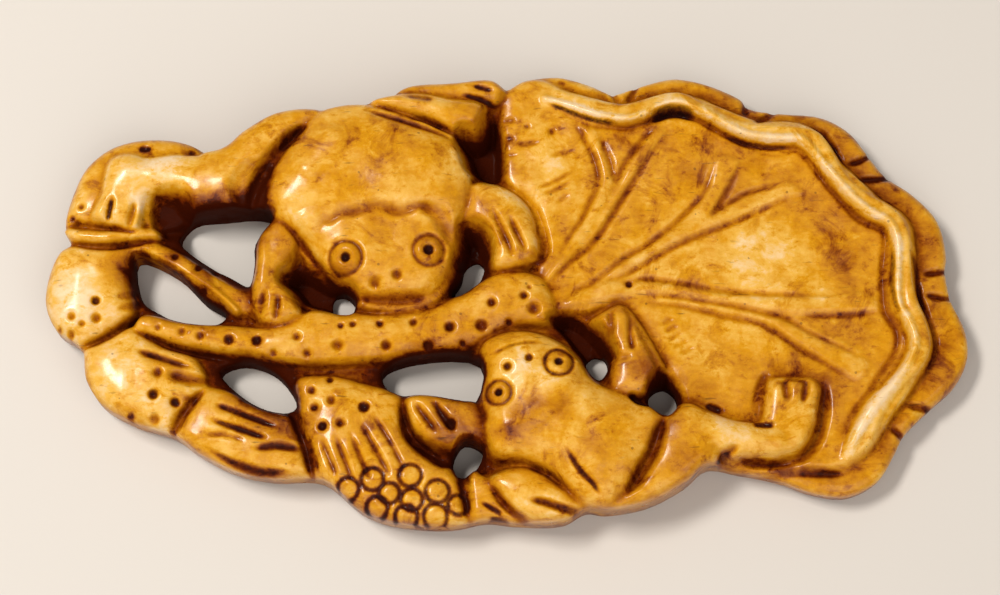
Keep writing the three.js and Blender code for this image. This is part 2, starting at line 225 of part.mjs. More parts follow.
// Grooves: points, width and depth.
const STROKES = [
  // Brow collar, jaw and mouth, thigh and foot lines of the upper frog.
  [[[-20, 9.5], [-19.3, 9.25], [-18, 10.05], [-16.3, 10.35], [-15.3, 10.75], [-14, 11.05], [-12.8, 10.65],
    [-11.5, 10.35], [-10.3, 10.75], [-9.5, 11.05], [-8.6, 11], [-7.8, 10.25]], 1.7, 0.6],
  [[[-9.6, 10.9], [-7.8, 10.4], [-6.8, 9], [-6, 6.4]], 2.2, 0.7],
  [[[-24.4, 9.3], [-22.9, 7.6], [-21, 5], [-19, 2.6], [-17, 0.9]], 0.6, 0.6],
  [[[-16.2, 1], [-14.8, 0.8], [-12, 0.7], [-10, 0.85], [-8.4, 1.3]], 1.2, 0.5],
  [[[-21.8, 20], [-23, 19.2], [-24.1, 18.2], [-25.1, 17.1], [-26, 15.7], [-26.9, 14.3], [-27.4, 12.9],
    [-27.7, 11.4], [-27.8, 10]], 1.6, 1.1],
  [[[-15.6, 21.9], [-13.5, 21.2], [-10, 20.1], [-7, 19], [-5.3, 18.2]], 0.6, 0.5],
  [[[-12, 21.3], [-9, 20.6], [-6.5, 19.6], [-5.5, 18.9], [-3.2, 17.9]], 0.7, 0.6],
  [[[-11.5, 23.5], [-9, 23.2], [-8, 23]], 0.8, INK_LINE],
  [[[-3.8, 24.7], [-1.5, 24.1]], 0.55, INK_LINE],
  [[[-5, 23.7], [-3, 23.2], [-1.2, 22.4]], 0.55, INK_LINE],
  [[[-26.4, 16.2], [-27.8, 13.4], [-29.2, 10.6]], 4.6, 1.2],
  [[[-38.9, 10.4], [-36.8, 10.3], [-34.4, 9.8]], 4.4, 3],
  [[[-42.8, 12], [-43.3, 9.2]], 0.7, GROOVE],
  [[[-40.3, 11.5], [-41, 8.4]], 0.7, GROOVE],
  [[[-26.2, 1.6], [-26.65, -1.3]], 0.75, GROOVE],
  [[[-24.55, 1], [-24.9, -1.7]], 0.75, GROOVE],
  [[[-1.6, 10.6], [-0.9, 9.1], [-0.3, 7.85], [0.3, 6.4], [0.5, 5.2]], 0.7, GROOVE],
  [[[0.3, 9.8], [0.8, 8.6], [1.5, 7.1], [2.1, 5.9]], 0.7, GROOVE],
  // Root joints and the grooves under the stem.
  [[[-47.9, 6.7], [-43, 6.4], [-38, 7.2]], 0.9, 0.9],
  [[[-47.6, 8.8], [-45.2, 8.7]], 0.7, 0.5],
  [[[-39.3, -1.2], [-42, -3], [-46.2, -5.4]], 0.9, 0.9],
  [[[-36.4, -7.6], [-34.6, -7.8], [-32.6, -7.3]], 2, 1],
  [[[-44.7, 9.2], [-43.2, 8.7], [-41.2, 8.2], [-39.8, 8.3]], 0.6, 0.45],
  [[[-32.4, -9.4], [-34.5, -12], [-36.2, -15.2]], 1.1, 0.8],
  [[[-40.4, -2.9], [-38.3, -3.8], [-36, -5], [-33, -5.7], [-29.6, -6.4]], 0.8, 0.8],
  [[[-39.4, -5], [-37.3, -5.9], [-35.4, -6.9]], 0.8, 0.7],
  [[[-40.3, 17.5], [-38.9, 17.4]], 0.75, INK_LINE],
  [[[-34.9, 17.1], [-34, 16.9]], 0.6, INK_LINE],
  // Petal strokes of the bud and its border with the pod.
  [[[-31.2, -11], [-28.8, -11.9], [-24.2, -13.7]], 0.75, 0.6],
  [[[-31.6, -12.7], [-28.5, -13.7], [-25.4, -14.8]], 0.75, 0.6],
  [[[-27, -15.8], [-24.4, -15.5], [-21.8, -16]], 1.2, 0.7],
  [[[-32, -15.8], [-29.5, -17.2], [-27.5, -18], [-25.3, -18.4], [-23.2, -18.3]], 0.9, 0.6],
  [[[-23.2, -12.3], [-21.7, -15.5], [-20.6, -19.8]], 0.9, 0.9],
  // Flutes of the seed pod.
  [[[-21.3, -14.5], [-20, -18.5]], 0.7, 0.6],
  [[[-19.8, -14.9], [-18.1, -18.9]], 0.7, 0.6],
  [[[-18.3, -14.6], [-16.4, -19.2]], 0.7, 0.6],
  [[[-16.8, -14], [-15, -18.2], [-14.6, -19]], 0.7, 0.6],
  [[[-15.6, -13.1], [-12.4, -18.8]], 0.7, 0.6],
  [[[-14.3, -12.2], [-12.5, -15], [-11, -18]], 0.7, 0.6],
  [[[-11.2, -10.8], [-10.5, -14.5], [-8, -16.8], [-5.8, -18.2]], 1.4, 1.3],
  [[[-5.3, -18.8], [-4.6, -21], [-4.2, -23.7]], 0.8, GROOVE],
  // Mouth, fingers, back line and thigh grooves of the lower frog.
  [[[-1.6, -5.3], [-0.55, -4.7], [0.55, -4.4], [1.7, -4.3], [2.8, -4.3]], 0.6, INK_LINE],
  [[[11.1, -0.7], [11.2, -3.4]], 0.75, GROOVE],
  [[[13.2, -1.2], [13.3, -4.3], [13.6, -4.9]], 0.75, GROOVE],
  [[[-9.9, -10.8], [-7.5, -14]], 0.75, GROOVE],
  [[[-8, -10.5], [-6.5, -12.7], [-5.5, -13.9]], 0.9, GROOVE],
  [[[6.2, -15.5], [7.1, -17.1], [8, -18.4], [9, -19.4], [9.8, -20.7]], 0.6, 0.4],
  [[[16.8, -12.4], [16.2, -13.8], [15.5, -15.9], [14.5, -17.7], [13.5, -19.4], [12.8, -20.4]], 1.6, 1.1],
  [[[18, -12.6], [16.9, -15], [15.6, -17.2]], 3, 0.5],
  [[[-1.8, -19.4], [-0.2, -21.8], [2.7, -23.9]], 0.8, GROOVE],
  [[[2.3, -21.2], [4, -21.5], [6, -22.2], [8.4, -23.1]], 1, GROOVE],
  [[[-2.8, -21.6], [-1.3, -22.5], [-0.5, -23]], 0.55, INK_LINE],
  [[[-2, -23.4], [0.3, -24.1]], 0.55, INK_LINE],
  [[[2.3, -17.9], [4, -18.5], [6, -20]], 0.7, 0.6],
  // Foot of the lower frog: toes, the trench round it and ink lenses on the shin.
  [[[29.9, -7.8], [30.1, -9], [30.2, -10.6]], 0.9, GROOVE],
  [[[32.5, -7.9], [32.4, -9.2], [31.9, -11]], 0.9, GROOVE],
  [[[34.8, -8.5], [34.5, -11], [33.8, -13.5], [32.5, -16], [31, -17], [29, -17.4], [26, -17.1],
    [24.4, -16.3]], 1.7, 0.9],
  [[[30.4, -17.5], [27, -17.4], [24.6, -16.6]], 0.9, 0.6],
  [[[28.3, -7], [27.8, -8], [27.3, -9.6], [26.8, -11.3]], 0.7, 0.5],
  [[[21.2, -11.2], [23.1, -11.9]], 0.8, INK_LINE],
  [[[26.1, -13.3], [28.5, -13.3]], 0.75, INK_LINE],
  [[[22.1, -18.1], [23.5, -16.1], [24.6, -15.5]], 0.9, 0.9],
  // Lip of the leaf: the undercut of its crest, the fold inside it and its border with the frill.
  [[[4.2, 22.9], [6, 22.4], [8, 21.5], [9.5, 20.9], [11, 20.5], [13, 20.4], [15, 20.8], [16.2, 21.4],
    [17.5, 21.9], [19, 21.9], [20.5, 21.5], [22, 20.6], [24, 19.4], [26, 18.4], [27.5, 17.9], [30, 17.8],
    [32, 18]], 0.6, 0.7],
  [[[15.6, 21.1], [17, 21.7], [19, 21.9], [21, 21.2]], 1.3, 0.9],
  [[[6, 25], [8, 24.1], [10, 23.4], [12, 22.9], [13, 22.9], [15, 23.3], [17, 23.9], [18.5, 24.1],
    [20, 23.8], [21.5, 23], [23, 22.1], [24.5, 21.3], [26, 20.7], [28, 20.5], [30, 20.4], [32.5, 20.2],
    [34.5, 19.4], [35.7, 17.8], [36.7, 15.8], [37.5, 14.3], [38.3, 13.4], [40, 12.3], [41.5, 11.4],
    [43, 10.2], [43.8, 8.5], [44.2, 6.5], [44.2, 4.5], [44.2, 3], [44.6, 1], [45.1, -0.5], [45.8, -2.5],
    [46.2, -4.5], [45.4, -6.5], [43.9, -8.1], [42.1, -9.8], [40.8, -11.6], [39.9, -13.5], [39.2, -15.3],
    [37.8, -16.8], [36, -17.8], [34, -18.1], [30, -18.3], [28, -18.5]], 0.8, 0.4],
  [[[43.8, 6.5], [44.3, 4], [44.6, 1], [45.4, -1.4]], 0.9, 0.4],
  [[[28, -18.6], [32, -18.3], [36, -18.8]], 1.1, 0.6],
  // The paired notches of the frill.
  [[[11.3, 24.6], [12.3, 22.9]], 0.6, GROOVE],
  [[[14.5, 24.9], [13.2, 22.9]], 0.6, GROOVE],
  [[[26.5, 23.2], [26.2, 21.3]], 0.6, GROOVE],
  [[[30, 21.9], [27.2, 20.5]], 0.6, GROOVE],
  [[[40.2, 16.7], [37.4, 15.7]], 0.6, GROOVE],
  [[[42.3, 14], [38.3, 14.1]], 0.6, GROOVE],
  [[[48.2, 3.6], [45.3, 3.3]], 0.6, GROOVE],
  [[[48.7, 0.4], [45.4, 1]], 0.6, GROOVE],
  [[[46.1, -11.9], [43.1, -11.3]], 0.6, GROOVE],
  [[[43.1, -15.3], [41.1, -13.6]], 0.6, GROOVE],
  // Lines on both sides of each vein.
  [[[5.6, 5.2], [7, 7.9], [8, 9.2], [9, 11.3], [9.9, 13.3], [9.9, 15], [9.3, 17], [8.3, 19], [7.5, 20.6]],
    0.75, 0.4],
  [[[11.7, 13.6], [11.4, 15.5], [10.8, 17.3], [10, 19.3]], 0.75, 0.4],
  [[[11.9, 13.3], [12.5, 15.2], [13.7, 17], [15.2, 18.9], [16.2, 19.7]], 0.75, 0.4],
  [[[3.9, 1.8], [5.8, 3.7], [7.3, 5.1], [9, 6.5], [10.8, 9], [12.5, 11.7], [14, 14.2], [15.8, 17],
    [17.8, 19.7]], 0.75, 0.45],
  [[[6.1, -0.1], [7.5, 1.5], [9, 2.2], [10.7, 3.5], [13, 5.3], [14.8, 6.3], [18.3, 9], [20.3, 11],
    [21.5, 12.5], [22.3, 14.5], [23, 16.9]], 0.7, 0.4],
  [[[22.2, 9.8], [23.3, 11.5], [24.3, 13.3], [25.6, 16]], 0.7, 0.4],
  [[[10.8, 2.7], [12.3, 3], [15.7, 4.9], [18.3, 6.5], [20.8, 7.7], [25, 9.3], [28, 10.7], [30.5, 11.8],
    [32.5, 12.4]], 0.7, 0.4],
  [[[10.7, 2.5], [13.2, 2.5], [14.9, 2.8], [17.4, 2.5], [19.9, 2.1], [23.2, 1.4], [27.6, 1.1], [33, 1],
    [39.1, 1.4]], 0.7, 0.4],
  [[[32, -1.3], [36, -1.2], [40.3, -0.8]], 0.7, 0.4],
  [[[13.2, 1.3], [15.7, 0.95], [18.2, 0.8], [21.5, 0.25], [24, -0.1], [27.5, -0.95], [29.8, -1.5],
    [33, -3.3], [36.5, -5], [39.2, -6.4]], 0.7, 0.4],
  [[[14.5, 0.1], [18.2, -0.1], [19.9, -0.4], [23.2, -1.3], [27.5, -2.2], [31, -4.6], [35, -7],
    [37.5, -8.6]], 0.7, 0.4],
];

// Drilled dots: x, y and radius.
const DOTS = [
  [-44.3, 0.4, 0.6], [-46.8, -1.3, 0.5], [-44.2, -1.5, 0.6], [-45.7, -2.1, 0.4], [-46.9, -3.3, 0.5],
  [-48.2, -2.9, 0.3], [-46.3, 10.9, 0.35], [-47.3, 9.6, 0.4], [-46.7, 9.1, 0.35],
  [-37.4, -7.5, 0.65], [-37.8, -9.9, 0.65], [-35.5, -10.8, 0.6], [-37.6, -12.6, 0.6], [-40.2, -12.4, 0.45],
  [-36, 5.3, 0.45], [-33.5, 4, 0.45], [-31.7, 3.3, 0.45], [-32.8, 1.4, 0.4],
  [-35, -3, 0.5], [-33, -3.5, 0.5], [-29.9, -3.9, 0.65], [-26.9, -4, 0.65], [-22.6, -3.6, 0.5],
  [-21.5, -5.4, 0.5], [-18.2, -4.5, 0.7], [-13.7, -2.2, 0.5], [-10.1, -2, 0.5], [-13, -4.5, 0.65],
  [-8.5, -4.5, 0.6], [-6.2, -2.5, 0.65], [-2.8, -2.3, 0.75], [-1.7, 0.2, 0.55], [1.8, 1, 0.5],
  [2.4, 1.9, 0.3], [2.9, -0.4, 0.8], [-37.6, -2.6, 0.35], [-25.1, -5.3, 0.4], [-17.9, -2.4, 0.35],
  [-16.6, -2.2, 0.4], [-4.8, -4.3, 0.35], [0.2, -2, 0.35],
  [-20.9, -9.5, 0.5], [-20.6, -11.3, 0.55], [-18.8, -10.5, 0.55], [-15.3, -11.3, 0.7],
  [-19.7, -13.4, 0.55], [-17.8, -13, 0.6], [-19, -8.4, 0.45],
  [-14.2, 2.4, 0.75], [-11.85, 3.3, 0.65], [2.3, -5.85, 0.5], [0.05, -6.8, 0.6], [13.2, 2.2, 0.45],
  [-6, -13, 0.6],
];

// Seed rings of the pod: x, y and radius.
const SEED_RINGS = [
  [-16.9, -20.2, 1.15], [-14.3, -19.1, 1.2], [-12.5, -20.6, 1.1], [-10.3, -18.7, 1.2],
  [-10.1, -21.3, 1.15], [-7.4, -20.4, 1.25], [-13.8, -22.2, 1.15], [-10.7, -23.2, 1.2], [-7.6, -23.1, 1.25],
  [-5.2, -21.9, 1.05],
];

// Eyes: x, y, ring radius and pupil radius.
const EYES = [[-17.4, 5.15, 1.75, 0.6], [-8.45, 6, 1.65, 0.65], [5.5, -6.4, 1.5, 0.55], [-0.9, -9.7, 1.3, 0.5]];

// A smooth curve through the points, as many steps between neighbours as asked.
function curve(points, closed, steps) {
  const spline = new THREE.CatmullRomCurve3(
    points.map((p) => new THREE.Vector3(p[0], p[1], 0)), closed, "centripetal");
  const count = (closed ? points.length : points.length - 1) * steps;
  return spline.getPoints(count).slice(0, closed ? count : count + 1).map((p) => [p.x, p.y]);
}

// Where a point that is seen on the middle plane really is, once its own height is known.
function settle(point, height) {
  return [point[0], point[1] - LEAN * (height - MIDDLE_HEIGHT)];
}

// Distance to a line of points and how far along it the nearest place is, from 0 to 1.
function nearest(line, x, y, closed) {
  let best = Infinity;
  let along = 0;
  const last = closed ? line.length : line.length - 1;
  for (let i = 0; i < last; i++) {
    const a = line[i];
    const b = line[(i + 1) % line.length];
    const dx = b[0] - a[0];
    const dy = b[1] - a[1];
    const t = Math.min(Math.max(((x - a[0]) * dx + (y - a[1]) * dy) / (dx * dx + dy * dy), 0), 1);
    const gap = Math.hypot(x - a[0] - t * dx, y - a[1] - t * dy);
    if (gap < best) {
      best = gap;
      along = (i + t) / last;
    }
  }
  return [best, along];
}

// Whether the point is inside the closed line.
function inside(line, x, y) {
  let odd = false;
  for (let i = 0, j = line.length - 1; i < line.length; j = i++) {
    const a = line[i];
    const b = line[j];
    if (a[1] > y !== b[1] > y && x < ((b[0] - a[0]) * (y - a[1])) / (b[1] - a[1]) + a[0]) odd = !odd;
  }
  return odd;
}

// Signed distance to a closed line, positive inside.
function depthInside(line, x, y) {
  const gap = nearest(line, x, y, true)[0];
  return inside(line, x, y) ? gap : -gap;
}

// Depth without ridges: every stretch of the line counts by the inverse fourth power of its distance.
function softDepth(line, x, y) {
  const depth = depthInside(line, x, y);
  if (depth < SHARP_DEPTH) return depth;
  let sum = 0;
  line.forEach((a, i) => {
    const b = line[(i + 1) % line.length];
    const square = ((a[0] + b[0]) / 2 - x) ** 2 + ((a[1] + b[1]) / 2 - y) ** 2;
    sum += Math.hypot(b[0] - a[0], b[1] - a[1]) / square ** 2;
  });
  const soft = Math.cbrt(Math.PI / 2 / sum);
  return depth + (soft - depth) * Math.min((depth - SHARP_DEPTH) / SHARP_DEPTH, 1);
}

function smoothMax(a, b, blend) {
  const mix = Math.max(blend - Math.abs(a - b), 0) / blend;
  return Math.max(a, b) + (mix * mix * blend) / 4;
}

// Rise of a rolled edge from 0 at the outline to 1 at the crown.
function roll(share) {
  const t = Math.min(Math.max(share, 0), 1);
  return Math.sqrt(1 - (1 - t) * (1 - t));
}

const box = (line) => {
  const xs = line.map((p) => p[0]);
  const ys = line.map((p) => p[1]);
  return [Math.min(...xs), Math.max(...xs), Math.min(...ys), Math.max(...ys)];
};
const near = (b, x, y, margin) =>
  x > b[0] - margin && x < b[1] + margin && y > b[2] - margin && y < b[3] + margin;

// Each raised form becomes a function of the place that gives its height there.
function massForm({ at, top, drop, roll: width, soft }) {
  const line = curve(at.map((p) => settle(p, top - drop)), true, 5);
  const bounds = box(line);
  return {
    blend: soft ? SOFT_BLEND : BLEND,
    height(x, y) {
      if (!near(bounds, x, y, 2.5)) return 0;
      const depth = softDepth(line, x, y);
      if (depth < 0) return top - drop + WALL_SLOPE * depth;
      return top - drop * (1 - roll(depth / width));
    },
  };
}

function limbForm({ at, drop }) {
  const line = curve(at.map((p) => settle(p, p[3])), false, 5);
  const bounds = box(line);
  return {
    blend: BLEND,
    height(x, y) {
      if (!near(bounds, x, y, 6)) return 0;
      const [gap, along] = nearest(line, x, y, false);
      const place = along * (at.length - 1);
      const i = Math.min(Math.floor(place), at.length - 2);
      const mix = place - i;
      const width = at[i][2] + (at[i + 1][2] - at[i][2]) * mix;
      const top = at[i][3] + (at[i + 1][3] - at[i][3]) * mix;
      if (gap > width) return top - drop - WALL_SLOPE * (gap - width);
      return top - drop * (1 - roll(1 - gap / width));
    },
  };
}

function veinForm(at) {
  return massForm({ at, top: VEIN_TOP, drop: VEIN_DROP, roll: VEIN_ROLL });
}

const forms = [...MASSES.map(massForm), ...LIMBS.map(limbForm), ...VEINS.map(veinForm)];

function crown(x, y) {
  let height = GROUND;
  for (const form of forms) height = smoothMax(height, form.height(x, y), form.blend);
  return height;
}

// The silhouette is seen at the rim, low on the near side and higher on the far side.
const outline = curve(OUTLINE.map(([x, y]) => [x, y + RIM_LIFT - RIM_TILT * y]), true, 5);

// A pierced hole is seen between its far edge at the back and its near edge at the top.
const holes = HOLES.map((at) => {
  const [, , low, high] = box(at);
  const far = LEAN * MIDDLE_HEIGHT;
  return curve(at.map(([x, y]) => [x, y + HOLE_NEAR + ((far - HOLE_NEAR) * (y - low)) / (high - low)]), true, 4);
});

// Plan distance to the material's edge, negative inside the material.
function plan(x, y) {
  let gap = -depthInside(outline, x, y);
  for (const hole of holes) gap = Math.max(gap, depthInside(hole, x, y));
  return gap;
}

// Height lost beside an edge of the given round radius, at a distance inside it.
function rimFall(inward, radius) {
  return radius * (1 - roll(inward / radius));
}

// Rise of the back beside an edge: wide under the outer rim, small round a piercing, never past half the height.
function backRise(x, y, inward, top) {
  const rim = Math.max(depthInside(outline, x, y), 0);
  return Math.min(Math.max((RIM_UNDER - rim) * UNDER_SLOPE, rimFall(inward, BACK_ROUND)), top / 2);
}

// A mark is placed where it is seen, so its own height is found first.
function seat(point) {
  let place = settle(point, MIDDLE_HEIGHT);
  for (let i = 0; i < 3; i++) {
    const lost = rimFall(Math.max(-plan(place[0], place[1]), 0), RIM_ROUND);
    place = settle(point, crown(place[0], place[1]) - lost);
  }
  return place;
}

const eyes = EYES.map(([x, y, ring, pupil]) => ({ at: seat([x, y]), ring, pupil }));
const strokes = STROKES.map(([points, width, depth]) => {
  const line = curve(curve(points, false, 2).map(seat), false, 2);
  return { line, width, depth, bounds: box(line) };
});
const dots = DOTS.map(([x, y, radius]) => ({ at: seat([x, y]), radius }));
const rings = SEED_RINGS.map(([x, y, radius]) => ({ at: seat([x, y]), radius }));
const pits = PITS.map(({ at, floor }) => {
  const line = curve(at.map((p) => settle(p, floor + 2)), true, 4);
  return { line, floor, bounds: box(line) };
});

function ringCut(gap, radius, width, depth) {
  const off = Math.abs(gap - radius) / width;
  return off < 1 ? depth * (1 - off * off) : 0;
}

// Height of the finished relief: the forms with everything that is cut into them.
function relief(x, y) {
  let height = crown(x, y);
  for (const pit of pits) {
    if (!near(pit.bounds, x, y, 2)) continue;
    const depth = depthInside(pit.line, x, y);
    height = -smoothMax(-height, -(pit.floor - WALL_SLOPE * depth + WALL_SLOPE), BLEND);
  }
  for (const eye of eyes) {
    const gap = Math.hypot(x - eye.at[0], y - eye.at[1]);
    const mound = 1 - Math.min(gap / (eye.ring + EYE_BROW), 1) ** 2;
    height += EYE_RISE * mound * mound - ringCut(gap, eye.ring, RING_WIDTH, EYE_RING);
    height -= gap < eye.pupil ? PUPIL_DEPTH * (1 - (gap / eye.pupil) ** 4) : 0;
  }
  for (const { line, width, depth, bounds } of strokes) {
    if (!near(bounds, x, y, width)) continue;
    const [gap, along] = nearest(line, x, y, false);
    const half = (width / 2) * Math.sqrt(Math.max(4 * along * (1 - along), 0.15)) + 0.1;
    if (gap < half) height -= depth * (1 - (gap / half) ** 2);
  }
  for (const dot of dots) {
    const gap = Math.hypot(x - dot.at[0], y - dot.at[1]);
    if (gap < dot.radius) height -= DOT_DEPTH * (1 - (gap / dot.radius) ** 3);
  }
  for (const ring of rings) {
    const gap = Math.hypot(x - ring.at[0], y - ring.at[1]);
    height -= ringCut(gap, ring.radius, RING_WIDTH, RING_DEPTH);
  }
  return height;
}

// The plan and the relief sampled on a grid, softened a little so that steep walls run clean.
function sampleGrid() {
  const [left, right, low, high] = box(outline);
  const columns = Math.ceil((right - left) / CELL) + 3;
  const rows = Math.ceil((high - low) / CELL) + 3;
  const place = (n) => [left - CELL + (n % columns) * CELL, low - CELL + Math.floor(n / columns) * CELL];
  const edge = new Float64Array(columns * rows);
  const raw = new Float64Array(columns * rows).fill(GROUND);
  for (let n = 0; n < edge.length; n++) {
    const [x, y] = place(n);
    edge[n] = plan(x, y);
    if (edge[n] < 2 * CELL) raw[n] = relief(x, y);
  }
  const height = raw.slice();
  for (let n = columns; n < raw.length - columns; n++) {
    const beside = raw[n - 1] + raw[n + 1] + raw[n - columns] + raw[n + columns];
    height[n] = (1 - 4 * SOFTEN) * raw[n] + SOFTEN * beside;
  }
  return { columns, rows, place, edge, height };
}

// The closed surface: top and back over each grid cell cut off at the edge, and a wall between them.
function traceSurface({ columns, rows, place, edge, height }) {
  const places = [];
  const faces = [];
  const made = new Map();
  // A point on the grid or on the edge between two grid places gives a top and a back vertex.
  const vertex = (m, n) => {
    const key = m < n ? m * edge.length + n : n * edge.length + m;
    if (made.has(key)) return made.get(key);
    const t = m === n ? 0 : edge[m] / (edge[m] - edge[n]);
    const [a, b] = [place(m), place(n)];
    const inward = m === n ? -edge[m] : 0;
    const top = Math.max(height[m] + (height[n] - height[m]) * t - rimFall(inward, RIM_ROUND), LEAST_WALL);
    const xy = [a[0] + (b[0] - a[0]) * t, a[1] + (b[1] - a[1]) * t];
    places.push([...xy, top], [...xy, backRise(...xy, inward, top)]);
    made.set(key, places.length - 2);
    return places.length - 2;
  };
  for (let j = 0; j < rows - 1; j++) {
    for (let i = 0; i < columns - 1; i++) {
      const home = j * columns + i;
      const corners = [home, home + 1, home + columns + 1, home + columns];
      const ring = [];
      corners.forEach((m, c) => {
        const n = corners[(c + 1) % 4];
        if (edge[m] < 0) ring.push([vertex(m, m), false]);
        if (edge[m] < 0 !== edge[n] < 0) ring.push([vertex(m, n), true]);
      });
      if (ring.length < 3) continue;
      const apart = (p, q) => Math.abs(places[ring[p][0]][2] - places[ring[q][0]][2]);
      if (ring.length === 4 && apart(0, 2) > apart(1, 3)) ring.push(ring.shift());
      ring.forEach(([v, onEdge], c) => {
        const [w, nextOnEdge] = ring[(c + 1) % ring.length];
        if (c > 0 && c < ring.length - 1) {
          faces.push([ring[0][0], v, w], [ring[0][0] + 1, w + 1, v + 1]);
        }
        if (onEdge && nextOnEdge) faces.push([v, v + 1, w + 1], [v, w + 1, w]);
      });
    }
  }
  return { places, faces };
}

// Edge collapse by quadric error, which keeps creases and drops points where the surface is plain.
function thin({ places, faces }, wanted) {
  const quadric = places.map(() => new Float64Array(10));
  const around = places.map(() => new Set());
  const alive = faces.map(() => true);
  const version = new Int32Array(places.length);
  const normalOf = (a, b, c) => {
    const u = [b[0] - a[0], b[1] - a[1], b[2] - a[2]];
    const v = [c[0] - a[0], c[1] - a[1], c[2] - a[2]];
    return [u[1] * v[2] - u[2] * v[1], u[2] * v[0] - u[0] * v[2], u[0] * v[1] - u[1] * v[0]];
  };
  faces.forEach((face, f) => {
    const [a, b, c] = face.map((v) => places[v]);
    const n = normalOf(a, b, c);
    const size = Math.hypot(...n) || 1e-12;
    const [nx, ny, nz] = n.map((s) => s / size);
    const d = -(nx * a[0] + ny * a[1] + nz * a[2]);
    const q = [nx * nx, nx * ny, nx * nz, nx * d, ny * ny, ny * nz, ny * d, nz * nz, nz * d, d * d];
    for (const v of face) {
      around[v].add(f);
      for (let i = 0; i < 10; i++) quadric[v][i] += (q[i] * size) / 2;
    }
  });
  const errorAt = (q, [x, y, z]) =>
    q[0] * x * x + 2 * q[1] * x * y + 2 * q[2] * x * z + 2 * q[3] * x + q[4] * y * y +
    2 * q[5] * y * z + 2 * q[6] * y + q[7] * z * z + 2 * q[8] * z + q[9];
  // The best place for a joined vertex, or the better of its ends and middle where the fit is flat.
  const bestPlace = (q, a, b) => {
    const tries = [a, b, a.map((s, i) => (s + b[i]) / 2)];
    const [m00, m01, m02, m03, m11, m12, m13, m22, m23] = q;
    const c0 = m11 * m22 - m12 * m12;
    const c1 = m02 * m12 - m01 * m22;
    const c2 = m01 * m12 - m02 * m11;
    const det = m00 * c0 + m01 * c1 + m02 * c2;
    if (Math.abs(det) > 1e-7) {
      const x = -(c0 * m03 + c1 * m13 + c2 * m23) / det;
      const y = -(c1 * m03 + (m00 * m22 - m02 * m02) * m13 + (m01 * m02 - m00 * m12) * m23) / det;
      const z = -(c2 * m03 + (m01 * m02 - m00 * m12) * m13 + (m00 * m11 - m01 * m01) * m23) / det;
      const reach = Math.hypot(a[0] - b[0], a[1] - b[1], a[2] - b[2]);
      const middle = tries[2];
      if (Math.hypot(x - middle[0], y - middle[1], z - middle[2]) < reach) tries.push([x, y, z]);
    }
    let best = tries[0];
    for (const place of tries) if (errorAt(q, place) < errorAt(q, best)) best = place;
    return best;
  };
  const heap = [];
  const push = (item) => {
    let i = heap.push(item) - 1;
    while (i > 0 && heap[(i - 1) >> 1].cost > heap[i].cost) {
      const up = (i - 1) >> 1;
      [heap[i], heap[up]] = [heap[up], heap[i]];
      i = up;
    }
  };
  const pop = () => {
    const first = heap[0];
    const last = heap.pop();
    if (heap.length > 0) {
      heap[0] = last;
      let i = 0;
      for (;;) {
        let low = i;
        for (const child of [2 * i + 1, 2 * i + 2]) {
          if (child < heap.length && heap[child].cost < heap[low].cost) low = child;
        }
        if (low === i) break;
        [heap[i], heap[low]] = [heap[low], heap[i]];
        i = low;
      }
    }
    return first;
  };
  const offer = (a, b) => {
    const q = quadric[a].map((s, i) => s + quadric[b][i]);
    const place = bestPlace(q, places[a], places[b]);
    const reach = Math.hypot(...places[a].map((s, i) => s - places[b][i]));
    push({ cost: errorAt(q, place) + 1e-5 * reach, a, b, place, va: version[a], vb: version[b] });
  };
  const neighbours = (v) => {
    const found = new Set();
    for (const f of around[v]) for (const w of faces[f]) if (w !== v) found.add(w);
    return found;
  };
  for (const face of faces) {
    for (let i = 0; i < 3; i++) if (face[i] < face[(i + 1) % 3]) offer(face[i], face[(i + 1) % 3]);
  }
  // A joined vertex may turn no face over and may leave no sliver.
  const turns = (v, other, place) => {
    for (const f of around[v]) {
      if (faces[f].includes(other)) continue;
      const before = normalOf(...faces[f].map((w) => places[w]));
      const corners = faces[f].map((w) => (w === v ? place : places[w]));
      const after = normalOf(...corners);
      const dot = before[0] * after[0] + before[1] * after[1] + before[2] * after[2];
      const size = Math.hypot(...after);
      if (dot < 0.25 * Math.hypot(...before) * size) return true;
      const longest = Math.max(...corners.map((p, i) =>
        Math.hypot(...p.map((s, d) => s - corners[(i + 1) % 3][d]))));
      if (size < 0.06 * longest * longest) return true;
    }
    return false;
  };
  let count = faces.length;
  while (count > wanted && heap.length > 0) {
    const { a, b, place, va, vb } = pop();
    if (version[a] !== va || version[b] !== vb) continue;
    const shared = [...around[a]].filter((f) => around[b].has(f));
    if (shared.length !== 2) continue;
    const nextToB = neighbours(b);
    if ([...neighbours(a)].filter((v) => nextToB.has(v)).length !== 2) continue;
    if (turns(a, b, place) || turns(b, a, place)) continue;
    places[a] = place;
    for (let i = 0; i < 10; i++) quadric[a][i] += quadric[b][i];
    for (const f of shared) {
      alive[f] = false;
      count -= 1;
      for (const v of faces[f]) around[v].delete(f);
    }
    for (const f of around[b]) {
      faces[f] = faces[f].map((v) => (v === b ? a : v));
      around[a].add(f);
    }
    around[b].clear();
    version[b] = -1;
    version[a] += 1;
    for (const v of neighbours(a)) offer(a, v);
  }
  return { places, faces: faces.filter((_, f) => alive[f]) };
}

// The traced and thinned surface as a mesh, with its flat back exactly on the ground plane.
function carving() {
  const { places, faces } = thin(traceSurface(sampleGrid()), FACES);
  const position = [];
  for (const face of faces) {
    for (const v of face) {
      const [x, y, z] = places[v];
      position.push(x * UNIT, (y - MIDDLE_Y) * UNIT, Math.abs(z) < 0.03 ? 0 : z);
    }
  }
  const geometry = new THREE.BufferGeometry();
  geometry.setAttribute("position", new THREE.Float32BufferAttribute(position, 3));
  geometry.computeVertexNormals();
  return geometry;
}

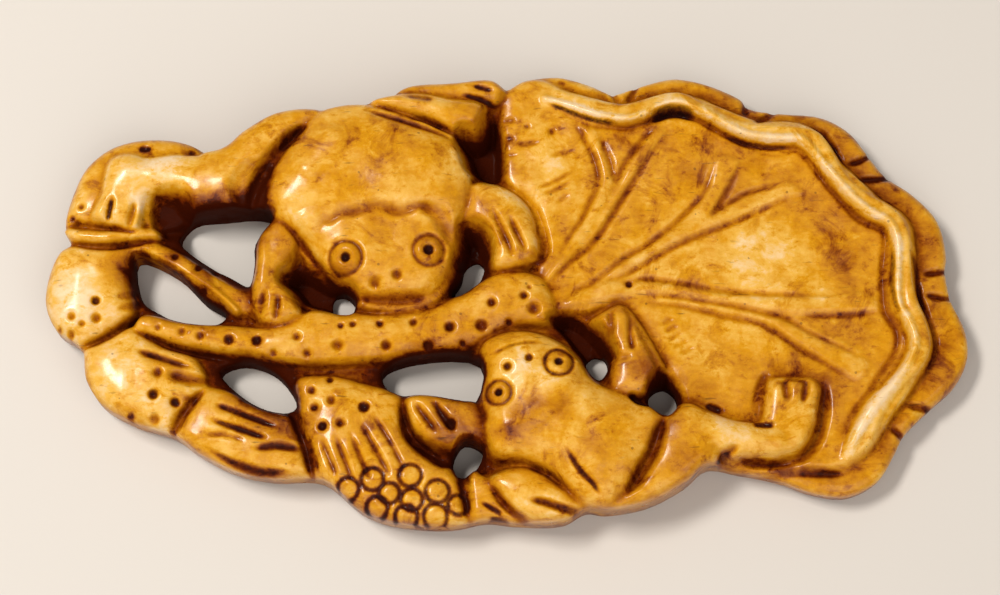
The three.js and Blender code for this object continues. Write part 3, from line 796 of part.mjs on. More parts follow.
const bone = new THREE.MeshStandardMaterial({ name: "bone", color: 0xd9a75a, roughness: 0.35 });
const mesh = new THREE.Mesh(carving(), bone);
mesh.name = "frog_lotus_carving";

const part = new THREE.Group();
part.name = "bone_frog_carving";
part.add(mesh);

export default part;
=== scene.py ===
# %% [markdown]
# This lesson dresses a small bone carving: two frogs on lotus, cut through in places and flat at the back.
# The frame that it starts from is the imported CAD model, which holds the true size. The carving is one solid,
# so one piece of mesh with a careful material is all there is to make, besides floor, light and camera.

# %% Load the frame
import math

import bpy
import numpy as np
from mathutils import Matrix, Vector


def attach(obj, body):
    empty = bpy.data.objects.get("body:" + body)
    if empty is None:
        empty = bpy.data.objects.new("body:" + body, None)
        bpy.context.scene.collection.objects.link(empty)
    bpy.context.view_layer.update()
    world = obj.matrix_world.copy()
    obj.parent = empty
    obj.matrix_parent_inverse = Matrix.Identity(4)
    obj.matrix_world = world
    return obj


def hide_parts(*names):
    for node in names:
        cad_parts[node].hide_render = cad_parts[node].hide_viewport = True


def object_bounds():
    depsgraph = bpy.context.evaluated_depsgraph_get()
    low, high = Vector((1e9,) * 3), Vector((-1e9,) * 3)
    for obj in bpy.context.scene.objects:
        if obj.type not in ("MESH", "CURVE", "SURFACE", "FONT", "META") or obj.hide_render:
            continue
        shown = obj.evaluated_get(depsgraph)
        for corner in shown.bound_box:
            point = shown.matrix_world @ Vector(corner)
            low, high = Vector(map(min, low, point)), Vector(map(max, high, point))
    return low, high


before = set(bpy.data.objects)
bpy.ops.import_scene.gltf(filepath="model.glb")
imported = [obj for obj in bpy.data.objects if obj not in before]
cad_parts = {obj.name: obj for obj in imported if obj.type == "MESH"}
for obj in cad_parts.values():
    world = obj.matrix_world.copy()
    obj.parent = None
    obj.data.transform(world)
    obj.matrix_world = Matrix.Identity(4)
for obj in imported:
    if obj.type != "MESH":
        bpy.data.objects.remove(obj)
cad_box = [list(corner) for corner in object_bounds()]
MM = 0.001
LENGTH = (cad_box[1][0] - cad_box[0][0]) / MM
print("CAD box in mm", [[round(v / MM, 2) for v in corner] for corner in cad_box])

# %% [markdown]
# The real plaque was carved by hand from a slab of bone. In Blender such a relief could be sculpted, but a
# height over every place of a fine grid does the same job in a way that can be read and changed: each raised
# form is an outline with a crown, and each tool mark is a line, a dot or a ring that is cut into it.
# Plan points are in hundredths of the length, and heights are in millimetres, as in the CAD model.
# A few points become a smooth line with a centripetal Catmull-Rom curve, which never loops or overshoots.

# %% Smooth lines through a few points
def curve(points, closed=False, steps=5):
    """Smooth line through the points; further columns, such as width, are carried along."""
    p = np.asarray(points, float)
    if closed:
        before, start, end, after = np.roll(p, 1, 0), p, np.roll(p, -1, 0), np.roll(p, -2, 0)
    else:
        start, end = p[:-1], p[1:]
        before = np.vstack([2 * p[0] - p[1], p[:-2]])
        after = np.vstack([p[2:], 2 * p[-1] - p[-2]])

    def gap(a, b):
        return np.maximum(np.sum((a[:, :2] - b[:, :2]) ** 2, axis=1) ** 0.25, 1e-4)[:, None]

    d0, d1, d2 = gap(before, start), gap(start, end), gap(end, after)
    t1 = ((start - before) / d0 - (end - before) / (d0 + d1) + (end - start) / d1) * d1
    t2 = ((end - start) / d1 - (after - start) / (d1 + d2) + (after - end) / d2) * d1
    t = np.linspace(0, 1, steps, endpoint=False)[:, None, None]
    line = start + t1 * t + (3 * (end - start) - 2 * t1 - t2) * t**2 + (2 * (start - end) + t1 + t2) * t**3
    line = line.transpose(1, 0, 2).reshape(-1, p.shape[1])
    return line if closed else np.vstack([line, p[-1]])


square = [[0, 0], [10, 0], [10, 10], [0, 10]]
print("a square of 4 corners becomes a closed line of", len(curve(square, closed=True)), "points")

# %% [markdown]
# The outline follows the scallops of the frill on the right and the humps of the root joints on the left.
# Its edge shows at a height of its own in the photograph, so it is lifted and tilted a little to the true
# plan.

# %% Outline of the plaque
RIM_LIFT = 0.36
RIM_TILT = 0.0045
OUTLINE = [
    [-47.5, 6.3], [-48.2, 7.6], [-47.7, 11.2], [-46.1, 15.2], [-43, 17.6], [-38.1, 18.4], [-34.5, 17.6],
    [-31.9, 16.6], [-29.2, 18.6], [-26.5, 20.3], [-23.3, 21.8], [-19, 22.1], [-13.8, 23.1], [-11, 24.2],
    [-7, 24.7], [-3, 25.1], [-1.3, 25.1], [0, 24.1], [1.8, 25.2], [5.5, 25.8], [9, 24.9], [11.8, 23.8],
    [14.5, 24.6], [18.5, 25.6], [22, 25], [25.8, 23.2], [27, 22], [29.7, 21.6], [35, 21], [38, 19.2],
    [39.9, 16.5], [41.5, 14.4], [44.5, 12.2], [47.2, 9], [48, 5], [47.8, 3.5], [48.3, 0.2], [49.7, -3],
    [49.9, -6.3], [48.5, -9.3], [45.8, -11.8], [42.7, -14.9], [41.6, -17], [39.8, -19.8], [36.5, -21.5],
    [33, -21.2], [29, -19.8], [25, -19], [21.5, -18.5], [19, -20.5], [15, -22.6], [10.5, -23.4],
    [8.5, -23.2], [6, -24.5], [1, -24.6], [-2.2, -24.3], [-6, -25], [-12, -24.6], [-15.5, -23.3],
    [-19.7, -20], [-25, -19.8], [-29, -19], [-33, -17], [-35.7, -15.1], [-40, -13.7], [-43.5, -11.7],
    [-45.3, -9], [-45.9, -5.6], [-48.7, -3.5], [-50, -0.5], [-49.8, 2.5], [-48.6, 5.2],
]
rim = np.array(OUTLINE, float)
rim[:, 1] += RIM_LIFT - RIM_TILT * rim[:, 1]
rim = curve(rim, closed=True)
print("outline of", len(OUTLINE), "points, smoothed to", len(rim))

# %% The grid over the plan
CELL = 0.13
low, high = rim.min(axis=0), rim.max(axis=0)
grid_x = np.arange(low[0] - CELL, high[0] + 2 * CELL, CELL)
grid_y = np.arange(low[1] - CELL, high[1] + 2 * CELL, CELL)
all_x, all_y = np.meshgrid(grid_x, grid_y)
print("grid of", len(grid_x), "by", len(grid_y), "places,", CELL, "mm apart")


# %% Parts and places of the grid
def window(line, margin):
    """The part of the grid round a line, as slices, with the places in it."""
    x0, x1 = np.searchsorted(grid_x, [line[:, 0].min() - margin, line[:, 0].max() + margin])
    y0, y1 = np.searchsorted(grid_y, [line[:, 1].min() - margin, line[:, 1].max() + margin])
    x, y = np.meshgrid(grid_x[x0:x1], grid_y[y0:y1])
    return (slice(y0, y1), slice(x0, x1)), x, y


def at_places(grid, x, y):
    """The grid's value at any places, from the four nearest."""
    u = np.clip((np.asarray(x) - grid_x[0]) / CELL, 0, len(grid_x) - 1.001)
    v = np.clip((np.asarray(y) - grid_y[0]) / CELL, 0, len(grid_y) - 1.001)
    i, j = u.astype(int), v.astype(int)
    s, t = u - i, v - j
    lower = grid[j, i] * (1 - s) + grid[j, i + 1] * s
    upper = grid[j + 1, i] * (1 - s) + grid[j + 1, i + 1] * s
    return lower * (1 - t) + upper * t


print("2 mm about a point take in", window(rim[:1], 2)[1].size, "places of the grid")

# %% [markdown]
# Every form and mark asks how far each place of the grid is from a line, and the closed ones ask which side
# it is on. A plain distance gives a ridge along the middle of a form, as on a roof. Where every stretch of
# the outline counts by its distance, the crown becomes a smooth dome, so one passes into the other inwards.

# %% Distance to a line
def nearest(line, x, y, closed=False):
    """Distance to the line and the share of its length where the nearest place is."""
    a = line[:, :2]
    b = np.roll(a, -1, axis=0) if closed else a[1:]
    best = np.full(x.shape, np.inf, np.float32)
    along = np.zeros(x.shape, np.float32)
    for i in range(len(b)):
        dx, dy = b[i] - a[i]
        t = np.clip(((x - a[i, 0]) * dx + (y - a[i, 1]) * dy) / (dx * dx + dy * dy + 1e-12), 0, 1)
        square = (x - a[i, 0] - t * dx) ** 2 + (y - a[i, 1] - t * dy) ** 2
        closer = square < best
        best = np.where(closer, square, best)
        along = np.where(closer, (i + t) / len(b), along)
    return np.sqrt(best), along


middle = np.zeros(1)
middle_gap, _ = nearest(rim, middle, middle, closed=True)
print("from the middle of the plan to its outline:", round(float(middle_gap[0]), 1), "mm")

# %% Depth inside a closed line
def inside(line, x, y):
    """True where the place is inside the closed line."""
    odd = np.zeros(x.shape, bool)
    a = line[:, :2]
    b = np.roll(a, 1, axis=0)
    for (ax, ay), (bx, by) in zip(a, b):
        if ay != by:
            odd ^= ((ay > y) != (by > y)) & (x < (bx - ax) * (y - ay) / (by - ay) + ax)
    return odd


def depth_inside(line, x, y):
    """Signed distance to the closed line, positive inside."""
    gap = nearest(line, x, y, closed=True)[0]
    return np.where(inside(line, x, y), gap, -gap)


inward = depth_inside(rim, all_x, all_y)
print("farthest place from the outline:", round(float(inward.max()), 1), "mm inside")

# %% Depth without ridges
SHARP_DEPTH = 0.6


def soft_depth(line, x, y):
    """Depth without ridges, because every stretch of the line counts by its distance."""
    depth = depth_inside(line, x, y)
    ends = np.roll(line, -1, axis=0)
    total = np.full(x.shape, 1e-9)
    for (ax, ay), (bx, by) in zip(line[:, :2], ends[:, :2]):
        square = ((ax + bx) / 2 - x) ** 2 + ((ay + by) / 2 - y) ** 2
        total += math.hypot(bx - ax, by - ay) / np.maximum(square, 1e-4) ** 2
    soft = np.cbrt(math.pi / 2 / total)
    mix = np.clip((depth - SHARP_DEPTH) / SHARP_DEPTH, 0, 1)
    return depth + (soft - depth) * mix


print("soft depth at the middle of the plan:", round(float(soft_depth(rim, middle, middle)[0]), 1), "mm")

# %% [markdown]
# The photograph looks down at 76 degrees, so what stands higher shows farther up in it. Points of the plan
# were placed as they are seen on a plane at the middle height. Once the height of a form is known, its
# points move back by the lean times that height.

# %% From where a point is seen to where it is
LEAN = math.tan(math.radians(14))
MIDDLE_HEIGHT = 4


def settle(points, height):
    """Where points seen on the middle plane really are, once their height is known."""
    p = np.array(points, float)
    p[:, 1] -= LEAN * (np.asarray(height) - MIDDLE_HEIGHT)
    return p


print("a point 5 mm above the middle plane moves by", round(5 * LEAN, 2), "mm")

# %% [markdown]
# A mass, such as a frog's back or a root joint, rises from its outline to a crown in a rolled edge, and
# drops outside the outline in a steep wall. Where two forms meet, a smooth maximum leaves the small fillet of
# a worn crease. A form that comes out on top also brings its own paleness, from 0 for dark amber to 1 for
# worn cream, in a second grid that the material reads later. Patches of painted shade and painted highlight
# are added to this grid further on.

# %% Raise a mass
GROUND = 4.0
WALL_SLOPE = 3.2
BLEND = 0.35
SOFT_BLEND = 1.1
COVER_BLEND = 0.5
MASS_MARGIN = 2.5
FIRST_PALE = 0.1
relief = np.full((len(grid_y), len(grid_x)), GROUND)
pale = np.full_like(relief, FIRST_PALE)


def smooth_max(a, b, blend):
    mix = np.maximum(blend - np.abs(a - b), 0) / blend
    return np.maximum(a, b) + mix * mix * blend / 4


def roll(share):
    """Rise of a rolled edge from 0 at the outline to 1 at the crown."""
    t = np.clip(share, 0, 1)
    return np.sqrt(1 - (1 - t) ** 2)


def cover(part, height, tint):
    share = np.clip((height - relief[part]) / COVER_BLEND + 0.5, 0, 1)
    pale[part] += (tint - pale[part]) * share


def raise_mass(top, drop, edge, tint, at, blend=BLEND):
    """Raise one form: height of its crown, drop and reach of its rolled edge, paleness and outline."""
    line = curve(settle(at, top - drop), closed=True)
    part, x, y = window(line, MASS_MARGIN)
    depth = soft_depth(line, x, y)
    height = np.where(depth < 0, top - drop + WALL_SLOPE * depth, top - drop * (1 - roll(depth / edge)))
    cover(part, height, tint)
    relief[part] = smooth_max(relief[part], height, blend)


def raise_masses(masses):
    for mass in masses.values():
        raise_mass(**mass)
    print("raised", ", ".join(masses) + "; highest place now", round(float(relief.max()), 1), "mm")


print("halfway in, a rolled edge has risen to", round(float(roll(0.5)), 2), "of its drop")

# %% [markdown]
# The leaf is the lowest form, a shallow dish with a scalloped frill. Frill and floor are two masses, and the
# rolled lip between them is a limb that comes later.

# %% The leaf
FRILL_TOP = 4.3
LEAF_FLOOR = 5.2
raise_masses({
    "frill": dict(top=FRILL_TOP, drop=0.9, edge=1.6, tint=0.46, at=[
        [-0.5, 24.6], [3.5, 26.4], [11, 25.5], [19, 26.3], [28, 23], [36, 21.4], [42, 15], [48, 10],
        [49.3, 0], [50.6, -6], [45, -13.5], [41, -20.5], [35, -22.4], [28, -20.4], [22.5, -19],
        [21.5, -15], [18, -11], [17, -7], [12.6, -1.5], [7, -1.6], [3, -1], [2.6, 4], [2.5, 10],
        [-0.7, 14.2], [-0.8, 19]]),
    "leaf floor": dict(top=LEAF_FLOOR, drop=0.5, edge=2, tint=0.48, at=[
        [-0.2, 24.2], [3, 25.6], [8, 23.4], [13, 22.4], [19, 23.6], [27.5, 19.6], [33, 19.4], [38, 12.6],
        [43, 9.8], [43.6, 4], [43.8, -1], [45.2, -4.5], [41, -10.8], [38.6, -15], [36, -17.6],
        [25, -18.4], [22.5, -16], [19, -10.8], [17, -7], [12.6, -0.6], [7, -1], [3.4, 0.4], [3.2, 5],
        [2.6, 11], [0, 13.8], [-0.6, 19]]),
})

# %% [markdown]
# A lotus root grows in swollen joints. Three of them end the plaque on the left, followed by a bud and by the
# seed pod. Each is a plump mass, so the roll of its edge reaches nearly to its middle.

# %% The root joints, the bud and the seed pod
ROOT_TOP = 7.2
BUD_TOP = 6.6
POD_TOP = 6.9
raise_masses({
    "upper root joint": dict(top=ROOT_TOP - 0.8, drop=2, edge=4.4, tint=0.56, at=[
        [-48, 8.2], [-48.5, 9.5], [-47.8, 12], [-46, 15.6], [-43, 17.9], [-38, 18.7], [-34.3, 17.9],
        [-32.5, 15], [-34, 9.9], [-37.5, 8.4], [-42, 8.2]]),
    "middle root joint": dict(top=ROOT_TOP, drop=2.6, edge=4.6, tint=0.62, at=[
        [-48.6, 6.2], [-50, 2.5], [-50.2, -0.6], [-48.8, -3.9], [-46.2, -5.3], [-42.2, -3.2],
        [-40.2, -1.2], [-40.7, 3], [-38.4, 6.9], [-42, 6.9]]),
    "lower root joint": dict(top=ROOT_TOP, drop=2.6, edge=4.6, tint=0.54, at=[
        [-45.9, -5.2], [-45.6, -9], [-43.6, -11.9], [-40, -13.9], [-36.2, -15], [-34.2, -11.9],
        [-32.2, -9.3], [-33.5, -6.2], [-37, -4.8], [-40, -2.6], [-42.5, -3.2]]),
    "bud": dict(top=BUD_TOP, drop=2.2, edge=3.8, tint=0.42, at=[
        [-33, -9.5], [-30, -9.7], [-27, -11.2], [-23.4, -12.4], [-22, -14], [-21, -16.5], [-20.2, -20],
        [-25, -20.1], [-29.5, -19.1], [-33.5, -17], [-36.4, -15]]),
    "seed pod": dict(top=POD_TOP, drop=2.2, edge=4, tint=0.4, at=[
        [-22.6, -8.5], [-19.5, -8], [-15, -9], [-11.4, -10.2], [-11, -13], [-9.2, -15.8], [-5.4, -18.4],
        [-4.1, -21], [-3.9, -24.6], [-8, -25.1], [-13, -24.5], [-17, -22.3], [-20.4, -20.2],
        [-21.6, -15.5], [-22.4, -11.5]]),
})

# %% [markdown]
# The main stem crosses from the root to the leaf between the frogs. It swells to a knob where it was cut, so
# an outline suits it better than a line with widths.

# %% The main stem, with the knob at its cut end
STEM_TOP = 6.7
raise_masses({
    "main stem": dict(top=STEM_TOP, drop=1.7, edge=2.5, tint=0.4, at=[
        [-39.7, -1.4], [-36, -1.7], [-30, -2.5], [-25, -2.5], [-20, -0.5], [-14, -1.2], [-8, -0.4],
        [-3.4, 2.2], [0.2, 3.6], [4, 2.6], [5.1, -1.8], [1, -2.9], [-3.5, -5.1], [-8, -6.2], [-14, -6.4],
        [-22, -6.7], [-30, -5.5], [-36, -4.6], [-40.2, -2.9]]),
})

# %% [markdown]
# Both frogs crouch with their backs up, and share their heights. The upper one faces the main stem, with a
# leg stretched over the root. The lower one looks to the upper left, with a foot on the leaf. Their heads
# blend softly into their backs, as there is no crease there.

# %% The upper frog
FROG_BACK = 9.4
FROG_HEAD = 8.3
FROG_THIGH = 8.5
FROG_SHIN = 7.9
FROG_HAND = 7.5
FROG_FOOT = 6.8
JAW_TOP = 5.9
raise_masses({
    "back": dict(top=FROG_BACK, drop=3, edge=6.4, tint=0.44, at=[
        [-20.5, 21.6], [-23.9, 18], [-26, 14.4], [-26.6, 11.5], [-24.8, 8.9], [-13, 8], [-6, 8.4],
        [-4.6, 10], [-3.9, 14], [-5, 17.6], [-10, 20.4], [-15.5, 22.4]]),
    "jaw flange": dict(top=JAW_TOP, drop=0.8, edge=1, tint=0.5, at=[
        [-25, 9.3], [-21.7, 4.6], [-19, 1.8], [-17.2, -0.1], [-14, -1], [-10, -1], [-7.3, 0.2], [-5.7, 3],
        [-5.2, 8], [-13, 10]]),
    "head": dict(top=FROG_HEAD, drop=2.6, edge=4.2, tint=0.42, blend=SOFT_BLEND, at=[
        [-24.2, 9.2], [-21.8, 6.2], [-19.3, 3], [-16.8, 1], [-12.5, 0.3], [-8.6, 0.8], [-6.5, 3],
        [-5.3, 6.5], [-5, 10], [-13, 11.3], [-23, 11]]),
    "thigh over the root": dict(top=FROG_THIGH, drop=2.2, edge=3.8, tint=0.36, at=[
        [-20.3, 21.6], [-22.8, 18.6], [-25, 15], [-26, 11.5], [-26.7, 10.2], [-32.2, 10], [-35.8, 11],
        [-35.3, 14.6], [-33.2, 16.9], [-30.6, 17.9], [-28.6, 19.8], [-25.4, 21.6]]),
    "foot on the root": dict(top=FROG_SHIN - 0.4, drop=1.3, edge=1.8, tint=0.6, at=[
        [-43.2, 16.2], [-44.2, 12.2], [-45, 9.5], [-43, 8.7], [-40.1, 8.2], [-39.4, 11], [-38.4, 12.8],
        [-38.8, 15.8], [-41, 16.8]]),
    "thigh by the leaf": dict(top=FROG_THIGH - 0.3, drop=1.9, edge=2.4, tint=0.36, at=[
        [-15, 22.6], [-9, 20.5], [-5.7, 18.9], [-3.4, 18], [-2.1, 19.4], [-2.2, 22.1], [-6, 23.1],
        [-11.3, 23.7]]),
    "foot by the leaf": dict(top=FROG_FOOT - 0.2, drop=1.2, edge=1.6, tint=0.34, at=[
        [-12.2, 23.7], [-8, 22.9], [-2.6, 22.2], [-0.9, 22.8], [-0.3, 24.3], [-1.8, 25.4], [-6, 25.1],
        [-10.7, 24.9]]),
    "arm on the thin stem": dict(top=FROG_HAND, drop=1.7, edge=2, tint=0.3, at=[
        [-25.3, 9.6], [-27, 7], [-27.4, 3.4], [-27.4, 0.4], [-26.5, -1.9], [-24.8, -2.4], [-22.3, -1.2],
        [-23.4, 1.2], [-24.2, 3.2], [-22.8, 6], [-22.6, 8.8]]),
    "hand on the main stem": dict(top=FROG_HAND, drop=1.8, edge=2.4, tint=0.4, at=[
        [-3.6, 13.5], [-0.2, 12.9], [2.2, 11], [3.2, 8.2], [3.2, 5.3], [1.7, 4.2], [-1.4, 3.9],
        [-1.8, 5.9], [-4, 8.1], [-5, 10.5]]),
})

# %% The lower frog
raise_masses({
    "back": dict(top=FROG_BACK, drop=3, edge=5.6, tint=0.42, at=[
        [6.8, -5.4], [9.4, -8.6], [13.2, -10.3], [16.8, -12.4], [15.8, -16], [13.2, -20.6], [10.4, -22.8],
        [8.2, -22.2], [4.9, -18.7], [2, -17.2], [-1.6, -16.3], [-2.4, -13], [2, -9]]),
    "head": dict(top=FROG_HEAD + 0.5, drop=2.9, edge=3.8, tint=0.5, blend=SOFT_BLEND, at=[
        [-2.7, -4.6], [0, -3.2], [2.6, -3.2], [5.5, -4.3], [7.5, -6], [7, -9.5], [4, -12], [-0.6, -14],
        [-2.5, -12.6], [-2.8, -8]]),
    "thigh towards the leaf": dict(top=FROG_THIGH, drop=2.1, edge=3.6, tint=0.36, at=[
        [16.2, -12], [19.5, -11], [21.8, -12.6], [22.8, -15.5], [22.3, -18.6], [19, -20.7], [15, -22.7],
        [10.2, -23.4], [9, -22.8], [12.2, -20.6], [14.6, -16.3]]),
    "foot on the leaf": dict(top=FROG_FOOT + 0.2, drop=1.3, edge=1.6, tint=0.62, at=[
        [28.2, -8.5], [30.6, -8.3], [33, -8.5], [33.6, -9.4], [33.3, -11.2], [32.9, -13.6], [31.2, -16.2],
        [28, -17], [25, -16.4], [26, -13.6], [27.1, -12.9], [27.6, -10.8]]),
    "thigh towards the pod": dict(top=FROG_THIGH - 0.9, drop=1.9, edge=2.6, tint=0.4, at=[
        [-1.9, -19.3], [0.5, -18], [3, -18.2], [7, -20.7], [9, -22.6], [6, -24.6], [2.5, -24.2],
        [-0.2, -22.2]]),
    "foot by the pod": dict(top=FROG_FOOT - 0.8, drop=1, edge=1.6, tint=0.45, at=[
        [-3.8, -18.9], [-2, -19.1], [0, -21.8], [2.7, -23.8], [1, -24.7], [-2, -24.5], [-3.6, -24.2]]),
    "arm on the leaf": dict(top=FROG_HAND, drop=1.8, edge=2.2, tint=0.14, at=[
        [8.9, -2.5], [11.7, -0.3], [12.7, -0.3], [15.1, -3.5], [17.2, -7.8], [17.4, -8.9], [15, -10.2],
        [13.4, -10.8], [11, -10], [11, -6.6], [9, -4]]),
    "hand by the pod": dict(top=FROG_HAND - 0.3, drop=1.6, edge=2.2, tint=0.3, at=[
        [-10.8, -10.4], [-7, -10.1], [-3.6, -10.7], [-1.8, -13], [-2.2, -15.7], [-6, -16], [-9.4, -14.6],
        [-10.8, -12.4]]),
})

# %% [markdown]
# A limb is a form about a line, such as a shin, the lip of the leaf or the thin stem. Each point of its line
# has a width and a height, so that it can thin out, climb and dip.

# %% Raise a limb
LIMB_MARGIN = 6


def raise_limb(drop, tint, at):
    """Raise a form about a line whose points give x, y, half its width and its height."""
    p = np.array(at, float)
    line = curve(settle(p, p[:, 3]))
    part, x, y = window(line, LIMB_MARGIN)
    gap, along = nearest(line, x, y)
    place = along * (len(p) - 1)
    width = np.interp(place, np.arange(len(p)), p[:, 2])
    top = np.interp(place, np.arange(len(p)), p[:, 3])
    foot = top - drop - WALL_SLOPE * (gap - width)
    height = np.where(gap > width, foot, top - drop * (1 - roll(1 - gap / width)))
    cover(part, height, tint)
    relief[part] = smooth_max(relief[part], height, BLEND)


def raise_limbs(limbs):
    for limb in limbs.values():
        raise_limb(**limb)
    print("raised", ", ".join(limbs) + "; highest place now", round(float(relief.max()), 1), "mm")


def level(points, width, top):
    """Points of a limb that all have the same width and height."""
    return [[x, y, width, top] for x, y in points]


print("a limb may be up to", LIMB_MARGIN, "mm wide on each side")

# %% [markdown]
# The lip is the leaf's edge, rolled inwards. Its narrow crest catches the light, and a lower shoulder behind
# it slopes to the frill. The crest keeps its width and height all the way, but for both ends.

# %% The rolled lip of the leaf: its crest, and the shoulder that slopes from it to the frill
LIP_TOP = 6.8
CREST_WIDTH = 0.7
raise_limbs({
    "crest": dict(drop=1.7, tint=0.95, at=[
        [4.2, 23.3, 0.7, LIP_TOP - 1.1], [7.5, 22.2, 0.9, LIP_TOP - 0.5], [9.5, 21.5, 1, LIP_TOP - 0.2],
        *level([[12.5, 21], [14.5, 21.3], [17.5, 22.8], [19, 22.9], [22, 21.6], [26, 19.3], [30, 18.8],
               [32.2, 18.7], [34.2, 16.4], [37, 12.8], [38.8, 11], [41.5, 9.3], [42.3, 7.5], [42.3, 5],
               [42.2, 0.2], [43.2, -1.5], [43.9, -4.3], [42.1, -7.8]], CREST_WIDTH, LIP_TOP),
        [39.1, -11.3, 1, LIP_TOP - 0.1], [37.2, -14.5, 0.9, LIP_TOP - 0.5],
        [36.4, -16.4, 0.8, LIP_TOP - 1]]),
    "shoulder": dict(drop=1.4, tint=0.5, at=[
        [5.5, 23.9, 0.9, LIP_TOP - 1.4], [9.7, 22.4, 1.2, LIP_TOP - 0.6], [13, 21.9, 1.1, LIP_TOP - 0.4],
        [18.8, 23.3, 1.1, LIP_TOP - 0.4], [23.2, 21.5, 1.1, LIP_TOP - 0.4], [27, 20, 1.1, LIP_TOP - 0.4],
        [32.9, 19.3, 1.2, LIP_TOP - 0.4], [36.4, 14.8, 1.2, LIP_TOP - 0.4],
        [39.5, 11.7, 1.2, LIP_TOP - 0.4], [42.7, 9.2, 1.2, LIP_TOP - 0.4], [43.4, 5, 1.1, LIP_TOP - 0.4],
        [43.4, 1, 1.1, LIP_TOP - 0.4], [44.8, -4.5, 1.2, LIP_TOP - 0.4], [42.6, -8.4, 1.1, LIP_TOP - 0.4],
        [39.9, -12, 1.2, LIP_TOP - 0.6], [38, -15.4, 1.1, LIP_TOP - 1], [35.4, -17.4, 0.9, LIP_TOP - 1.5],
        [29.5, -18, 0.8, LIP_TOP - 1.8]]),
})

# %% [markdown]
# The other limbs are the thin stem with a ridge along it, the ring about the root under the frog's toes, the
# shins, which thin out towards the foot, and two raised edges.

# %% The thin stem, the root's ring, the shins and the edges of thigh and pod
THIN_STEM_TOP = 5.9
raise_limbs({
    "thin stem": dict(drop=1.6, tint=0.36, at=[
        [-39.3, 6.3, 1.3, THIN_STEM_TOP], [-36, 4.8, 1.3, THIN_STEM_TOP], [-33, 2.8, 1.4, THIN_STEM_TOP],
        [-29.6, 0.6, 1.6, THIN_STEM_TOP - 0.6], [-25, -0.5, 1.4, GROUND + 1.4]]),
    "ridge of the thin stem": dict(drop=1, tint=0.5, at=[
        [-39, 6.1, 0.45, THIN_STEM_TOP + 0.2], [-35, 3.8, 0.45, THIN_STEM_TOP + 0.3],
        [-32, 1.9, 0.45, THIN_STEM_TOP + 0.3], [-29.2, -0.6, 0.4, THIN_STEM_TOP]]),
    "ring of the upper root joint": dict(drop=1.5, tint=0.55, at=[
        [-47.9, 7.9, 0.9, ROOT_TOP - 1], [-43, 7.6, 0.9, ROOT_TOP - 0.5],
        [-38.3, 8, 0.8, ROOT_TOP - 1.2]]),
    "upper frog's shin": dict(drop=1.9, tint=0.6, at=[
        [-30.5, 13.6, 3.2, FROG_SHIN + 0.4], [-35.5, 14.6, 2.6, FROG_SHIN + 0.1],
        [-41.3, 14.8, 1.9, FROG_SHIN - 0.3]]),
    "lower frog's shin": dict(drop=1.9, tint=0.55, at=[
        [19.8, -13.1, 2.2, FROG_SHIN + 0.4], [24, -14.4, 2, FROG_SHIN],
        [28.4, -14.8, 2, FROG_SHIN - 0.5]]),
    "edge of the upper frog's thigh": dict(drop=1, tint=0.6, at=[
        [-16.5, 22, 0.5, FROG_SHIN], [-11, 20.8, 0.6, FROG_SHIN], [-5.8, 18.6, 0.5, FROG_SHIN - 0.6]]),
    "edge of the pod": dict(drop=1.2, tint=0.5, at=[
        [-3.5, -18.6, 0.6, POD_TOP - 0.9], [-3.4, -24.4, 0.6, POD_TOP - 1.4]]),
})

# %% [markdown]
# Each vein is a flat band that forks towards the lip, a little above the leaf's floor. As an outline it can
# fork, which a limb can't. The gouged lines on both sides of it come with the other strokes.

# %% The veins of the leaf
VEIN_TOP = 5.5
VEINS = [
    [[3.9, 1.8], [6, 6], [8, 9.2], [9.9, 13.3], [9.3, 17], [7.7, 20.2], [10.2, 19.4], [11.4, 15.5],
     [11.7, 13.4], [7.3, 5.1]],
    [[3.9, 1.8], [7.3, 5.1], [11.9, 13.3], [13.7, 17], [16, 19.7], [17.6, 19.5], [12.5, 11.7], [9, 6.5]],
    [[6.1, -0.1], [9, 2.2], [14.8, 6.3], [20.3, 11], [22.9, 16.6], [25.6, 15.9], [22.2, 9.8], [15.7, 5.2],
     [10.8, 2.9]],
    [[10.8, 2.7], [15.7, 5.2], [22.3, 10], [25.7, 12.2], [30.4, 13.7], [32.4, 12.4], [25, 9.3],
     [18.3, 6.5]],
    [[6.1, -0.2], [10.7, 2.5], [17.4, 2.5], [27.6, 1.1], [38.9, 1.3], [40.3, -0.8], [32, -1.3],
     [24, -0.1], [15.7, 0.9]],
    [[13.2, 1.2], [18.2, 0.8], [24, -0.1], [29.8, -1.5], [39, -6.3], [37.4, -8.6], [31, -4.6],
     [27.5, -2.2], [18.2, -0.1]],
]
for vein in VEINS:
    raise_mass(top=VEIN_TOP, drop=0.5, edge=0.8, tint=0.46, at=vein)
print("raised", len(VEINS), "veins")

# %% [markdown]
# A knife leaves shallow flats everywhere, and the light on them tells a hand-cut thing from a cast one.
# Random heights on two coarse grids, joined by flats, do that. The seeds are fixed, so each run carves the
# same piece.

# %% Flats of the knife
LONG_FLATS = 0.15
SHORT_FLATS = 0.07


def uneven(spacing, seed):
    """Random heights between -1 and 1, one drawn for every spacing of millimetres, joined by flats."""
    rows, columns = int(np.ptp(grid_y) / spacing) + 3, int(np.ptp(grid_x) / spacing) + 3
    draws = np.random.default_rng(seed).uniform(-1, 1, (rows, columns))
    u, v = (grid_x - grid_x[0]) / spacing, (grid_y - grid_y[0]) / spacing
    i, j = u.astype(int), v.astype(int)
    along = draws[:, i] * (1 - (u - i)) + draws[:, i + 1] * (u - i)
    return along[j] * (1 - (v - j))[:, None] + along[j + 1] * (v - j)[:, None]


relief += LONG_FLATS * uneven(2.9, seed=3) + SHORT_FLATS * uneven(1.3, seed=5)
crown = relief.copy()
print("relief from", round(float(relief.min()), 2), "to", round(float(relief.max()), 2), "mm")
